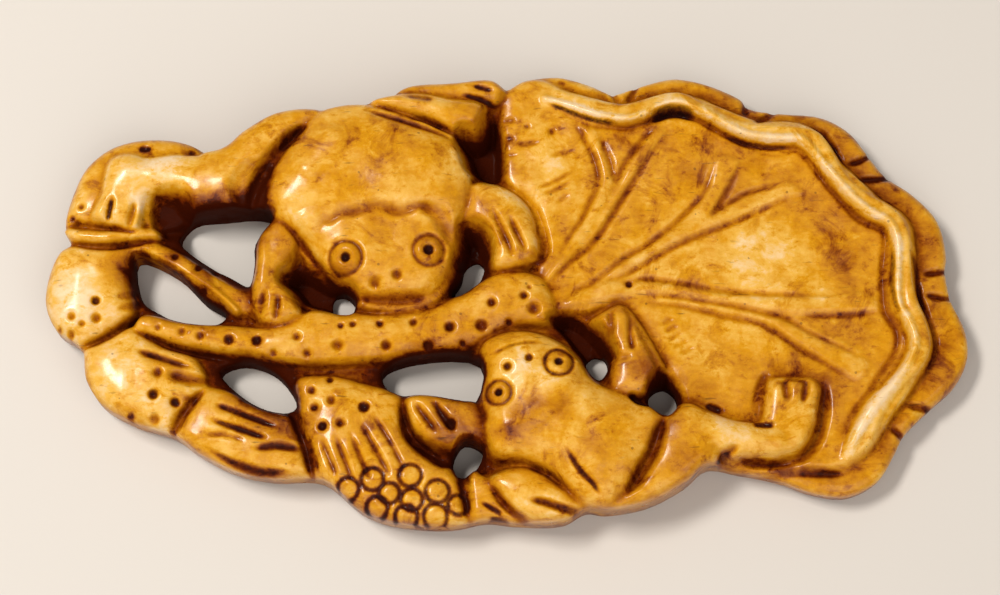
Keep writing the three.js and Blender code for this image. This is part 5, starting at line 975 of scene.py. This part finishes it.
# %% Dots, as x, y, radius and, where it isn't the common one, ink
DOT_DEPTH = 0.7
DOT_INK = 0.45
DOT_MARGIN = 2
DOTS = [
    [-44.3, 0.4, 0.6, 0.8], [-46.8, -1.3, 0.5], [-44.2, -1.5, 0.6], [-45.7, -2.1, 0.4],
    [-46.9, -3.3, 0.5], [-48.2, -2.9, 0.3], [-46.3, 10.9, 0.35], [-47.3, 9.6, 0.4], [-46.7, 9.1, 0.35],
    [-37.4, -7.5, 0.65, 0.3], [-37.8, -9.9, 0.65, 0.8], [-35.5, -10.8, 0.6, 0.8],
    [-37.6, -12.6, 0.6, 0.25], [-40.2, -12.4, 0.45], [-36, 5.3, 0.45], [-33.5, 4, 0.45],
    [-31.7, 3.3, 0.45], [-32.8, 1.4, 0.4], [-35, -3, 0.5], [-33, -3.5, 0.5], [-29.9, -3.9, 0.65, 0.8],
    [-26.9, -4, 0.65, 0.8], [-22.6, -3.6, 0.5, 0.25], [-21.5, -5.4, 0.5, 0.25], [-18.2, -4.5, 0.7, 0.25],
    [-13.7, -2.2, 0.5], [-10.1, -2, 0.5], [-13, -4.5, 0.65], [-8.5, -4.5, 0.6], [-6.2, -2.5, 0.65],
    [-2.8, -2.3, 0.75], [-1.7, 0.2, 0.55], [1.8, 1, 0.5], [2.4, 1.9, 0.3], [2.9, -0.4, 0.8, 0.25],
    [-37.6, -2.6, 0.35], [-25.1, -5.3, 0.4], [-17.9, -2.4, 0.35], [-16.6, -2.2, 0.4], [-4.8, -4.3, 0.35],
    [0.2, -2, 0.35], [-20.9, -9.5, 0.5], [-20.6, -11.3, 0.55], [-18.8, -10.5, 0.55],
    [-15.3, -11.3, 0.7, 0.8], [-19.7, -13.4, 0.55, 0.8], [-17.8, -13, 0.6, 0.25], [-19, -8.4, 0.45, 0.8],
    [-14.2, 2.4, 0.75, 0.25], [-11.85, 3.3, 0.65, 0.25], [2.3, -5.85, 0.5, 0.8], [0.05, -6.8, 0.55, 0.7],
    [13.2, 2.2, 0.45, 0.8], [-6, -13, 0.6, 0.8], [4.9, 19.5, 0.3, 0.1], [2.2, 20.1, 0.25, 0.1],
]


def cut_dot(x0, y0, radius, colour=DOT_INK):
    part, gap = round_about(x0, y0, DOT_MARGIN)
    share = np.clip(1 - (gap / radius) ** 3, 0, 1)
    relief[part] -= DOT_DEPTH * share
    ink[part] = np.maximum(ink[part], colour * np.sqrt(share))


for dot in DOTS:
    cut_dot(*dot)
print("drilled", len(DOTS), "dots")

# %% Seed rings, as x, y and radius
RING_DEPTH = 0.3
RING_INK = 0.8
RING_MARGIN = 3
SEED_RINGS = [
    [-16.9, -20.2, 1.15], [-14.3, -19.1, 1.2], [-12.5, -20.6, 1.1], [-10.3, -18.7, 1.2],
    [-10.1, -21.3, 1.15], [-7.4, -20.4, 1.25], [-13.8, -22.2, 1.15], [-10.7, -23.2, 1.2],
    [-7.6, -23.1, 1.25], [-5.2, -21.9, 1.05],
]
for x0, y0, radius in SEED_RINGS:
    part, gap = round_about(x0, y0, RING_MARGIN)
    share = ring_cut(gap, radius, RING_WIDTH)
    relief[part] -= RING_DEPTH * share
    ink[part] = np.maximum(ink[part], RING_INK * np.sqrt(share))
print("drilled", len(SEED_RINGS), "seed rings")

# %% [markdown]
# Polishing takes the edge off every cut. A blur over a fraction of a millimetre does the same. The difference
# between the relief and a wider blur of it then tells hollows, which hold dark stain and get painted shade,
# from worn high points.

# %% Polish
LEAST_WALL = 1.2
BONE_EDGE = -0.3


def blur(grid, radius_mm):
    """Three passes of a moving average, only over bone."""
    n = max(int(round(radius_mm / CELL)), 1)

    def sweep(a):
        for axis in (0, 1):
            for _ in range(3):
                pad = [(0, 0), (0, 0)]
                pad[axis] = (n + 1, n)
                total = np.cumsum(np.pad(a, pad, mode="edge"), axis=axis)
                ahead = np.take(total, range(2 * n + 1, total.shape[axis]), axis=axis)
                behind = np.take(total, range(0, total.shape[axis] - 2 * n - 1), axis=axis)
                a = (ahead - behind) / (2 * n + 1)
        return a

    bone = (inward > BONE_EDGE).astype(float)
    return sweep(grid * bone) / np.maximum(sweep(bone), 1e-3)


relief = np.where(inward > BONE_EDGE, blur(relief, CELL), relief)
top_height = np.maximum(relief - edge_fall, LEAST_WALL)
back_height = np.minimum(back_height, top_height / 2)
print("top from", round(float(top_height.min()), 2), "to", round(float(top_height.max()), 2), "mm")

# %% [markdown]
# Hollows are found at four widths, from a scratch to the trench beside a leg, so that both fill with stain and
# with painted shade. The walls of piercings and pits count as deep, and get stain and painted shade that
# spread out onto the bone round them, though less onto what stands proud of its surroundings. Painted shade
# also falls on the bone just beyond each gap, on its far side, whose edge faces away from the light. The outer
# rim is painted paler, a painted light that lifts the shade on its rolled edge.

# %% Hollows, their stain and painted shade, and the painted light on the rim
HOLLOW_SCALES = ((0.35, 0.35), (0.9, 0.8), (2.2, 2.2), (3.6, 4.0))
PROUD_LEAST = -0.06
HOLLOW_MOST = 0.45
HOLLOW_SUM = 0.7
DEEP_BELOW = 4
DEEP_RANGE = 2.2
# deep places darken with stain and with painted shade
DEEP_STAIN_AND_SHADE = 0.5
SEEP_STAIN_AND_SHADE = 0.5
# painted shade on the bone just beyond a gap, shifted towards the far side of the plan
BEYOND_GAP_SHADE = 0.9
BEYOND_GAP_SHIFT = 0.8
# strength of the painted light on the outer rim
RIM_LIGHT = 0.3
# how far each place lies in a hollow; the tone darkens there with stain and painted shade
hollow_stain_and_painted_light = np.zeros_like(relief)
for radius, scale in HOLLOW_SCALES:
    hollow_stain_and_painted_light += np.clip((blur(relief, radius) - relief) / scale / 2, PROUD_LEAST, HOLLOW_MOST)
hollow_stain_and_painted_light = np.minimum(hollow_stain_and_painted_light, HOLLOW_SUM)
deep = np.where(in_hole, 1, np.clip((DEEP_BELOW - relief) / DEEP_RANGE, 0, 1))
# stain and painted shade spreading out round deep places
seeped_stain_and_shade = SEEP_STAIN_AND_SHADE * blur(deep, 0.9) + SEEP_STAIN_AND_SHADE * blur(deep, 1.9)
held_back = np.clip(1 - (relief - blur(relief, 2.2)) / 1.1, 0.1, 1)
# painted shade: the same spread, shifted towards the far side of each gap
shade_beyond_gaps = np.roll(blur(deep, 1.2), round(BEYOND_GAP_SHIFT / CELL), axis=0)
# painted light: the outer rim is made paler
hollow_stain_and_painted_light -= RIM_LIGHT * rim_painted_light
hollow_stain_and_painted_light += DEEP_STAIN_AND_SHADE * deep + seeped_stain_and_shade * held_back + BEYOND_GAP_SHADE * shade_beyond_gaps
print("hollow from", round(float(hollow_stain_and_painted_light.min()), 2), "to", round(float(hollow_stain_and_painted_light.max()), 2))

# %% [markdown]
# The mesh has a top and a back over every grid place inside the plan's edge, and a wall between them. Whole
# squares get two triangles, split along the diagonal that bends least. A square that the edge crosses is cut
# along it, so that the rim and the piercings are smooth curves and not steps.

# %% Points and whole squares
CORNERS = [np.s_[:-1, :-1], np.s_[:-1, 1:], np.s_[1:, 1:], np.s_[1:, :-1]]
solid = inward > 0
index = np.full(inward.shape, -1)
index[solid] = np.arange(solid.sum())
tops = np.column_stack([all_x[solid], all_y[solid], top_height[solid]])
backs = np.column_stack([all_x[solid], all_y[solid], back_height[solid]])
whole = np.all([solid[corner] for corner in CORNERS], axis=0)
touched = np.any([solid[corner] for corner in CORNERS], axis=0)
a, b, c, d = [index[corner][whole] for corner in CORNERS]
flat = (np.abs(tops[a, 2] - tops[c, 2]) < np.abs(tops[b, 2] - tops[d, 2]))[:, None]
first = np.where(flat, np.column_stack([a, b, c]), np.column_stack([b, c, d]))
second = np.where(flat, np.column_stack([a, c, d]), np.column_stack([b, d, a]))
square_faces = np.vstack([first, second])
print(len(tops), "points on the top,", len(square_faces), "faces in whole squares")

# %% Squares that the edge crosses
edge_points = []
edge_index = {}


def crossing(m, n):
    """Number of the point where the edge crosses the line between two neighbouring places."""
    key = (m, n) if m < n else (n, m)
    if key not in edge_index:
        (ja, ia), (jb, ib) = key
        fa, fb = inward[ja, ia], inward[jb, ib]
        t = fa / (fa - fb)
        x = grid_x[ia] + (grid_x[ib] - grid_x[ia]) * t
        y = grid_y[ja] + (grid_y[jb] - grid_y[ja]) * t
        height = relief[ja, ia] + (relief[jb, ib] - relief[ja, ia]) * t - RIM_ROUND
        edge_index[key] = len(edge_points)
        edge_points.append((x, y, max(height, LEAST_WALL)))
    return edge_index[key]


cut_faces = []
walls = []
for j, i in zip(*np.nonzero(touched & ~whole)):
    corners = [(j, i), (j, i + 1), (j + 1, i + 1), (j + 1, i)]
    ring = []
    for m, n in zip(corners, corners[1:] + corners[:1]):
        if solid[m]:
            ring.append((index[m], False))
        if solid[m] != solid[n]:
            ring.append((len(tops) + crossing(m, n), True))
    for k in range(1, len(ring) - 1):
        cut_faces.append((ring[0][0], ring[k][0], ring[k + 1][0]))
    for (v, on_edge), (w, next_on_edge) in zip(ring, ring[1:] + ring[:1]):
        if on_edge and next_on_edge:
            walls.append((v - len(tops), w - len(tops)))
print(len(cut_faces), "faces in cut squares,", len(edge_points), "points on the edges")

# %% [markdown]
# The back is the top's faces turned over. The wall goes down from the top's edge to the back's in several
# rings, since faces as tall and thin as the whole wall would be shaded badly.

# %% Back and walls
WALL_RINGS = 7
edges = np.array(edge_points)
edge_backs = edges.copy()
outer = at_places(near_rim, edges[:, 0], edges[:, 1]) > 0.5
back_edge = np.where(outer, UNDER_SLOPE * RIM_UNDER, BACK_ROUND)
edge_backs[:, 2] = np.minimum(back_edge, edges[:, 2] / 2)
places = [tops, edges, backs, edge_backs]
for share in np.linspace(0, 1, WALL_RINGS + 2)[1:-1]:
    ring = edges.copy()
    ring[:, 2] += (edge_backs[:, 2] - edges[:, 2]) * share
    places.append(ring)
places = np.vstack(places)
top_faces = np.vstack([square_faces, np.array(cut_faces)])
size = len(tops) + len(edges)
faces = [top_faces, top_faces[:, ::-1] + size]
starts = [len(tops)] + [2 * size + n * len(edges) for n in range(WALL_RINGS)] + [size + len(tops)]
v, w = np.array(walls).T
for upper, lower in zip(starts, starts[1:]):
    faces.append(np.column_stack([v + upper, v + lower, w + lower]))
    faces.append(np.column_stack([v + upper, w + lower, w + upper]))
faces = np.vstack(faces)
print(len(places), "points and", len(faces), "faces in the closed shell")

# %% [markdown]
# So far the plan is in hundredths of the length. The mesh gets true metres, centred as the CAD solid is.
# Decimation then spends faces where the carving is busy, and stays under the 200,000 that an STL file keeps.

# %% The mesh at its true size, thinned where it is plain
MIDDLE_Y = 0.9
MOST_FACES = 190000
metres = places.copy()
metres[:, 1] -= MIDDLE_Y
metres[:, :2] *= LENGTH / 100
metres *= MM
fine = bpy.data.meshes.new("fine carving")
fine.from_pydata(metres.tolist(), [], faces.tolist())
fine.update()
maker = bpy.data.objects.new("maker", fine)
bpy.context.scene.collection.objects.link(maker)
thin = maker.modifiers.new("thin", "DECIMATE")
thin.ratio = MOST_FACES / len(faces)
bpy.context.view_layer.update()
carved = bpy.data.meshes.new_from_object(maker.evaluated_get(bpy.context.evaluated_depsgraph_get()))
bpy.data.objects.remove(maker)
bpy.data.meshes.remove(fine)
carved.name = "carving"
carved.shade_smooth()
carving = bpy.data.objects.new("bone_carving", carved)
bpy.context.scene.collection.objects.link(carving)
print("carving of", len(carved.vertices), "points and", len(carved.polygons), "faces")

# %% [markdown]
# The material needs to know, at each point of the mesh, how hollow the place is, with the stain and painted
# shade that this brings, how much ink it holds, and how pale the form is, with its patches of painted shade
# and painted highlight. All three were found on the grid, so they are read from it into attributes of the
# mesh. The back, whose normals point down, has no marks, so it gets 0.

# %% Store hollows with their stain and painted shade, ink, and paleness with its painted light on the mesh
BACK_FACING = -0.3
PALE_BLUR = 0.4
co = np.empty(len(carved.vertices) * 3)
carved.vertices.foreach_get("co", co)
co = co.reshape(-1, 3) / MM
normals = np.empty(len(carved.vertices) * 3)
carved.vertices.foreach_get("normal", normals)
on_back = normals.reshape(-1, 3)[:, 2] < BACK_FACING
for name, grid in (("hollow_stain_and_painted_light", hollow_stain_and_painted_light), ("ink", ink), ("pale", blur(pale, PALE_BLUR))):
    values = at_places(grid, co[:, 0] * 100 / LENGTH, co[:, 1] * 100 / LENGTH + MIDDLE_Y)
    values = np.where(on_back, 0, values)
    carved.attributes.new(name, "FLOAT", "POINT").data.foreach_set("value", values.astype(np.float32))
    print(name, "from", round(float(values.min()), 2), "to", round(float(values.max()), 2))

# %% [markdown]
# Old bone is pale where hands polished it and amber to red-brown where stain sits. The colour is a ramp over
# one value: pale forms, worn high points and patches of painted highlight push it up, hollows with their stain
# and painted shade and patches of painted shade pull it down, and noises make it blotchy.
# All noises read the object's own coordinates, so that the pattern stays with the piece.

# %% Helpers for the bone material
bone = bpy.data.materials.new("bone")
bone.use_nodes = True
tree = bone.node_tree
tree.nodes.clear()


def add(kind, **settings):
    """A new node; settings named after sockets fill them, the others set the node itself."""
    made = tree.nodes.new(kind)
    for key, value in settings.items():
        socket = made.inputs.get(key.replace("_", " "))
        if socket is not None and not hasattr(made, key):
            socket.default_value = value
        else:
            setattr(made, key, value)
    return made


def math_node(operation, *terms, clamp=False):
    """One step of arithmetic on up to three numbers or outputs of other nodes."""
    made = tree.nodes.new("ShaderNodeMath")
    made.operation = operation
    made.use_clamp = clamp
    for socket, term in zip(made.inputs, terms):
        if isinstance(term, (int, float)):
            socket.default_value = term
        else:
            tree.links.new(term, socket)
    return made.outputs[0]


def excess(value, floor, gain, capped=False):
    """How far the value is above the floor, times the gain, and never below zero."""
    return math_node("MULTIPLY", math_node("SUBTRACT", value, floor, clamp=True), gain, clamp=capped)


def noise(scale, detail, roughness=0.5, stretch=(1, 1, 1), distortion=0.0):
    """Noise with so many waves per millimetre."""
    mapping = add("ShaderNodeMapping")
    mapping.inputs["Scale"].default_value = stretch
    tree.links.new(coordinates.outputs["Object"], mapping.inputs["Vector"])
    made = add("ShaderNodeTexNoise", Scale=scale / MM, Detail=detail, Roughness=roughness)
    made.inputs["Distortion"].default_value = distortion
    tree.links.new(mapping.outputs["Vector"], made.inputs["Vector"])
    return made.outputs["Fac"]


coordinates = add("ShaderNodeTexCoord")
hollow_stain_and_light_value = add("ShaderNodeAttribute", attribute_name="hollow_stain_and_painted_light").outputs["Fac"]
ink_value = add("ShaderNodeAttribute", attribute_name="ink").outputs["Fac"]
pale_and_painted_light_value = add("ShaderNodeAttribute", attribute_name="pale").outputs["Fac"]
print("material reads", len([node for node in tree.nodes if node.type == "ATTRIBUTE"]), "attributes")

# %% Tone of the stain, with painted shade and painted highlight
BASE_TONE = 0.365
PALE_SHARE = 0.55
BLOTCH_SHARE = 0.55
MOTTLE_SHARE = 0.68
GRAIN_SHARE = 0.25
CRUMB_STAIN = 0.4
HOLLOW_STAIN_AND_SHADE = 0.4
INK_STAIN = 0.45
blotches = noise(scale=0.12, detail=4, roughness=0.55)
mottle = noise(scale=0.42, detail=6, roughness=0.66, distortion=0.4)
grain = noise(scale=1.6, detail=4, roughness=0.6, stretch=(0.8, 1.3, 1))
# paleness, with the patches of painted shade and painted highlight in it, sets the tone
tone = math_node("MULTIPLY_ADD", pale_and_painted_light_value, PALE_SHARE, BASE_TONE)
for pattern, strength in ((blotches, BLOTCH_SHARE), (mottle, MOTTLE_SHARE), (grain, GRAIN_SHARE)):
    tone = math_node("ADD", tone, math_node("MULTIPLY", math_node("SUBTRACT", pattern, 0.5), strength))
smudges = excess(noise(scale=0.22, detail=6, roughness=0.68, distortion=0.8), floor=0.54, gain=1.9)
flecks = excess(noise(scale=0.75, detail=5, roughness=0.7, stretch=(0.8, 1.2, 1)), floor=0.57, gain=1.6)
crumbs = math_node("MULTIPLY", math_node("SUBTRACT", noise(scale=1.3, detail=6, roughness=0.75), 0.5), 1.2)
crumb_reach = math_node("MINIMUM", math_node("MAXIMUM", hollow_stain_and_light_value, 0.0), 0.5)
crumbly = math_node("MULTIPLY", crumbs, crumb_reach)
tone = math_node("SUBTRACT", tone, smudges)
tone = math_node("SUBTRACT", tone, flecks)
tone = math_node("SUBTRACT", tone, math_node("MULTIPLY", crumbly, CRUMB_STAIN))
# hollows darken the tone with stain and with painted shade
tone = math_node("SUBTRACT", tone, math_node("MULTIPLY", hollow_stain_and_light_value, HOLLOW_STAIN_AND_SHADE))
tone = math_node("SUBTRACT", tone, math_node("MULTIPLY", ink_value, INK_STAIN), clamp=True)
print("tone starts from", BASE_TONE)

# %% Colours from the darkest stain to worn bone
STAIN = [
    (0.00, (0.040, 0.005, 0.001)),
    (0.14, (0.115, 0.016, 0.001)),
    (0.32, (0.270, 0.070, 0.002)),
    (0.48, (0.460, 0.168, 0.003)),
    (0.64, (0.610, 0.265, 0.006)),
    (0.80, (0.730, 0.400, 0.060)),
    (1.00, (0.800, 0.580, 0.330)),
]
ramp = add("ShaderNodeValToRGB")
while len(ramp.color_ramp.elements) < len(STAIN):
    ramp.color_ramp.elements.new(0.5)
for element, (place, colour) in zip(ramp.color_ramp.elements, STAIN):
    element.position = place
    element.color = (*colour, 1)
tree.links.new(tone, ramp.inputs["Fac"])
print("ramp of", len(STAIN), "colours")

# %% [markdown]
# Ink sits in the cut lines. It isn't a clean black line but crumbles at its edges, so a noise eats into it.
# Fine dark pores lie along the length of the bone, and round specks of dirt gather in some places only.

# %% Ink, specks and pores
INK = (0.020, 0.005, 0.004, 1)
INK_FLOOR = 0.42
INK_GAIN = 1.6
SPECK_RADIUS = 0.085
SPECK_DARK = 0.45
PORE_DARK = 0.6
pores = noise(scale=1.1, detail=2, stretch=(0.35, 2.2, 1))
pore_mask = excess(pores, floor=0.68, gain=7, capped=True)
ink_noise = math_node("MULTIPLY_ADD", noise(scale=2.2, detail=3), 0.5, 0.75)
crumbled = math_node("MULTIPLY", crumbs, math_node("MULTIPLY", ink_value, 1.4, clamp=True))
inky = math_node("ADD", math_node("MULTIPLY", ink_value, ink_noise), crumbled)
dark = math_node("MULTIPLY", math_node("SUBTRACT", inky, INK_FLOOR), INK_GAIN, clamp=True)
speck = add("ShaderNodeTexVoronoi", Scale=0.55 / MM)
tree.links.new(coordinates.outputs["Object"], speck.inputs["Vector"])
in_speck = math_node("LESS_THAN", speck.outputs["Distance"], SPECK_RADIUS)
speckled_area = math_node("GREATER_THAN", noise(scale=0.3, detail=2), 0.52)
specks = math_node("MULTIPLY", in_speck, speckled_area)
dark = math_node("MAXIMUM", dark, math_node("MULTIPLY", specks, SPECK_DARK))
dark = math_node("MAXIMUM", dark, math_node("MULTIPLY", pore_mask, PORE_DARK))
inked = add("ShaderNodeMix", data_type="RGBA")
inked.inputs["B"].default_value = INK
tree.links.new(dark, inked.inputs["Factor"])
tree.links.new(ramp.outputs["Color"], inked.inputs["A"])
print("ink below", INK_FLOOR, "leaves the bone clean")

# %% [markdown]
# A coat gives the sharp gloss of a waxed surface. Wax went on by hand, so it is thicker in some patches, and
# there is none in the dirty hollows, where the light on bare stain is dull. A little light also passes under
# the skin of bone, which softens the shade on thin edges.

# %% Gloss
COAT = 0.3
COAT_ROUGHNESS = 0.15
SPECULAR = 0.22
DIRT_DULL = 0.85
BARE_IOR = 1.03
WAXED_IOR = 1.5
shader = add("ShaderNodeBsdfPrincipled", Coat_Roughness=COAT_ROUGHNESS)
dirt = math_node("MAXIMUM", math_node("MULTIPLY", hollow_stain_and_light_value, 1.2, clamp=True), ink_value)
clean = math_node("SUBTRACT", 1.0, math_node("MULTIPLY", dirt, DIRT_DULL), clamp=True)
wax = excess(noise(scale=0.3, detail=4, roughness=0.6), floor=0.36, gain=6, capped=True)
gloss = math_node("MULTIPLY", clean, math_node("MULTIPLY_ADD", wax, 0.5, 0.5))
tree.links.new(math_node("MULTIPLY", gloss, COAT), shader.inputs["Coat Weight"])
tree.links.new(math_node("MULTIPLY", gloss, SPECULAR), shader.inputs["Specular IOR Level"])
tree.links.new(math_node("MULTIPLY_ADD", gloss, WAXED_IOR - BARE_IOR, BARE_IOR), shader.inputs["IOR"])
print("coat up to", COAT, "and index of refraction up to", WAXED_IOR)

# %% Skin, roughness and bump
SKIN_DEPTH = 1.2
SKIN_WEIGHT = 0.06
SKIN_REACH = (1.0, 0.45, 0.2)
BUMP_HEIGHT = 0.09
shader.inputs["Subsurface Weight"].default_value = SKIN_WEIGHT
shader.inputs["Subsurface Radius"].default_value = SKIN_REACH
shader.inputs["Subsurface Scale"].default_value = SKIN_DEPTH * MM
rough = math_node("MULTIPLY_ADD", noise(scale=0.8, detail=4), 0.2, 0.2)
rough = math_node("ADD", rough, math_node("MULTIPLY", hollow_stain_and_light_value, 0.2, clamp=True), clamp=True)
facets = math_node("MULTIPLY", noise(scale=0.3, detail=3, distortion=0.6), 2.2)
waves = math_node("ADD", noise(scale=0.8, detail=6, roughness=0.65), facets)
bump = add("ShaderNodeBump", Strength=0.5, Distance=BUMP_HEIGHT * MM)
tree.links.new(math_node("SUBTRACT", waves, pore_mask), bump.inputs["Height"])
tree.links.new(bump.outputs["Normal"], shader.inputs["Normal"])
tree.links.new(rough, shader.inputs["Roughness"])
tree.links.new(inked.outputs["Result"], shader.inputs["Base Color"])
output = add("ShaderNodeOutputMaterial")
tree.links.new(shader.outputs["BSDF"], output.inputs["Surface"])
carved.materials.append(bone)
print("bone material of", len(tree.nodes), "nodes")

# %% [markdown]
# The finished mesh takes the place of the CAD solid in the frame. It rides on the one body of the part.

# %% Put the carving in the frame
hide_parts("frog_lotus_carving")
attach(carving, "root")

# %% [markdown]
# The plaque lies on a plain warm-white floor, as on a photographer's table, in soft light mostly from the
# left. A large flat floor, one key light, a wide fill and a pale surround give the same shadow on the right.

# %% Floor
FLOOR_SIZE = 3.0
FLOOR_DROP = 0.0001
TABLE_WHITE = (0.62, 0.572, 0.52, 1)
TABLE_ROUGHNESS = 0.6
half = FLOOR_SIZE / 2
floor_mesh = bpy.data.meshes.new("floor")
floor_corners = [(-half, -half, 0), (half, -half, 0), (half, half, 0), (-half, half, 0)]
floor_mesh.from_pydata(floor_corners, [], [(0, 1, 2, 3)])
floor = bpy.data.objects.new("floor", floor_mesh)
floor.location.z = -FLOOR_DROP
bpy.context.scene.collection.objects.link(floor)
floor_finish = bpy.data.materials.new("warm white table")
floor_finish.use_nodes = True
paint = floor_finish.node_tree.nodes["Principled BSDF"]
paint.inputs["Base Color"].default_value = TABLE_WHITE
paint.inputs["Roughness"].default_value = TABLE_ROUGHNESS
floor_mesh.materials.append(floor_finish)
print("floor of", FLOOR_SIZE, "m")

# %% Lights
KEY_LONG = 0.20
KEY_SHORT = 0.11
SURROUND = (1.0, 0.97, 0.93, 1)
SURROUND_STRENGTH = 0.32


def lamp(name, place, size, power, colour):
    light = bpy.data.lights.new(name, "AREA")
    light.size = size
    light.energy = power
    light.color = colour
    holder = bpy.data.objects.new(name, light)
    holder.location = place
    holder.rotation_euler = (-Vector(place)).to_track_quat("-Z", "Y").to_euler()
    bpy.context.scene.collection.objects.link(holder)
    print(name, "of", power, "W at", [round(v, 2) for v in place])
    return holder


key = lamp("key", place=(-0.27, 0.10, 0.55), size=KEY_LONG, power=3.0, colour=(1.0, 0.97, 0.92))
key.data.shape = "RECTANGLE"
key.data.size_y = KEY_SHORT
lamp("fill", place=(0.12, -0.48, 0.50), size=0.9, power=3.4, colour=(1.0, 0.98, 0.95))
world = bpy.data.worlds.new("studio")
world.use_nodes = True
world.node_tree.nodes["Background"].inputs["Color"].default_value = SURROUND
world.node_tree.nodes["Background"].inputs["Strength"].default_value = SURROUND_STRENGTH
bpy.context.scene.world = world
bpy.context.scene.view_settings.view_transform = "Standard"

# %% [markdown]
# The camera looks down from the near side, 76 degrees above the table, close to straight above. Its distance
# and focal length frame the plaque as the photograph does.

# %% Camera
ELEVATION = math.radians(76)
DISTANCE = 0.320
FOCAL_PIXELS = 2944
IMAGE_WIDTH = 1000
SENSOR_WIDTH = 36
NEAREST_SEEN = 0.01
AIM = Vector((-0.76, 0.7 - MIDDLE_Y, 4.0)) * MM
camera_data = bpy.data.cameras.new("camera")
camera_data.sensor_width = SENSOR_WIDTH
camera_data.lens = SENSOR_WIDTH * FOCAL_PIXELS / IMAGE_WIDTH
camera_data.clip_start = NEAREST_SEEN
camera = bpy.data.objects.new("camera", camera_data)
camera.location = AIM + DISTANCE * Vector((0, -math.cos(ELEVATION), math.sin(ELEVATION)))
camera.rotation_euler = (AIM - camera.location).to_track_quat("-Z", "Y").to_euler()
bpy.context.scene.collection.objects.link(camera)
bpy.context.scene.camera = camera
print("camera at", [round(v, 3) for v in camera.location], "with a lens of", round(camera_data.lens, 1), "mm")
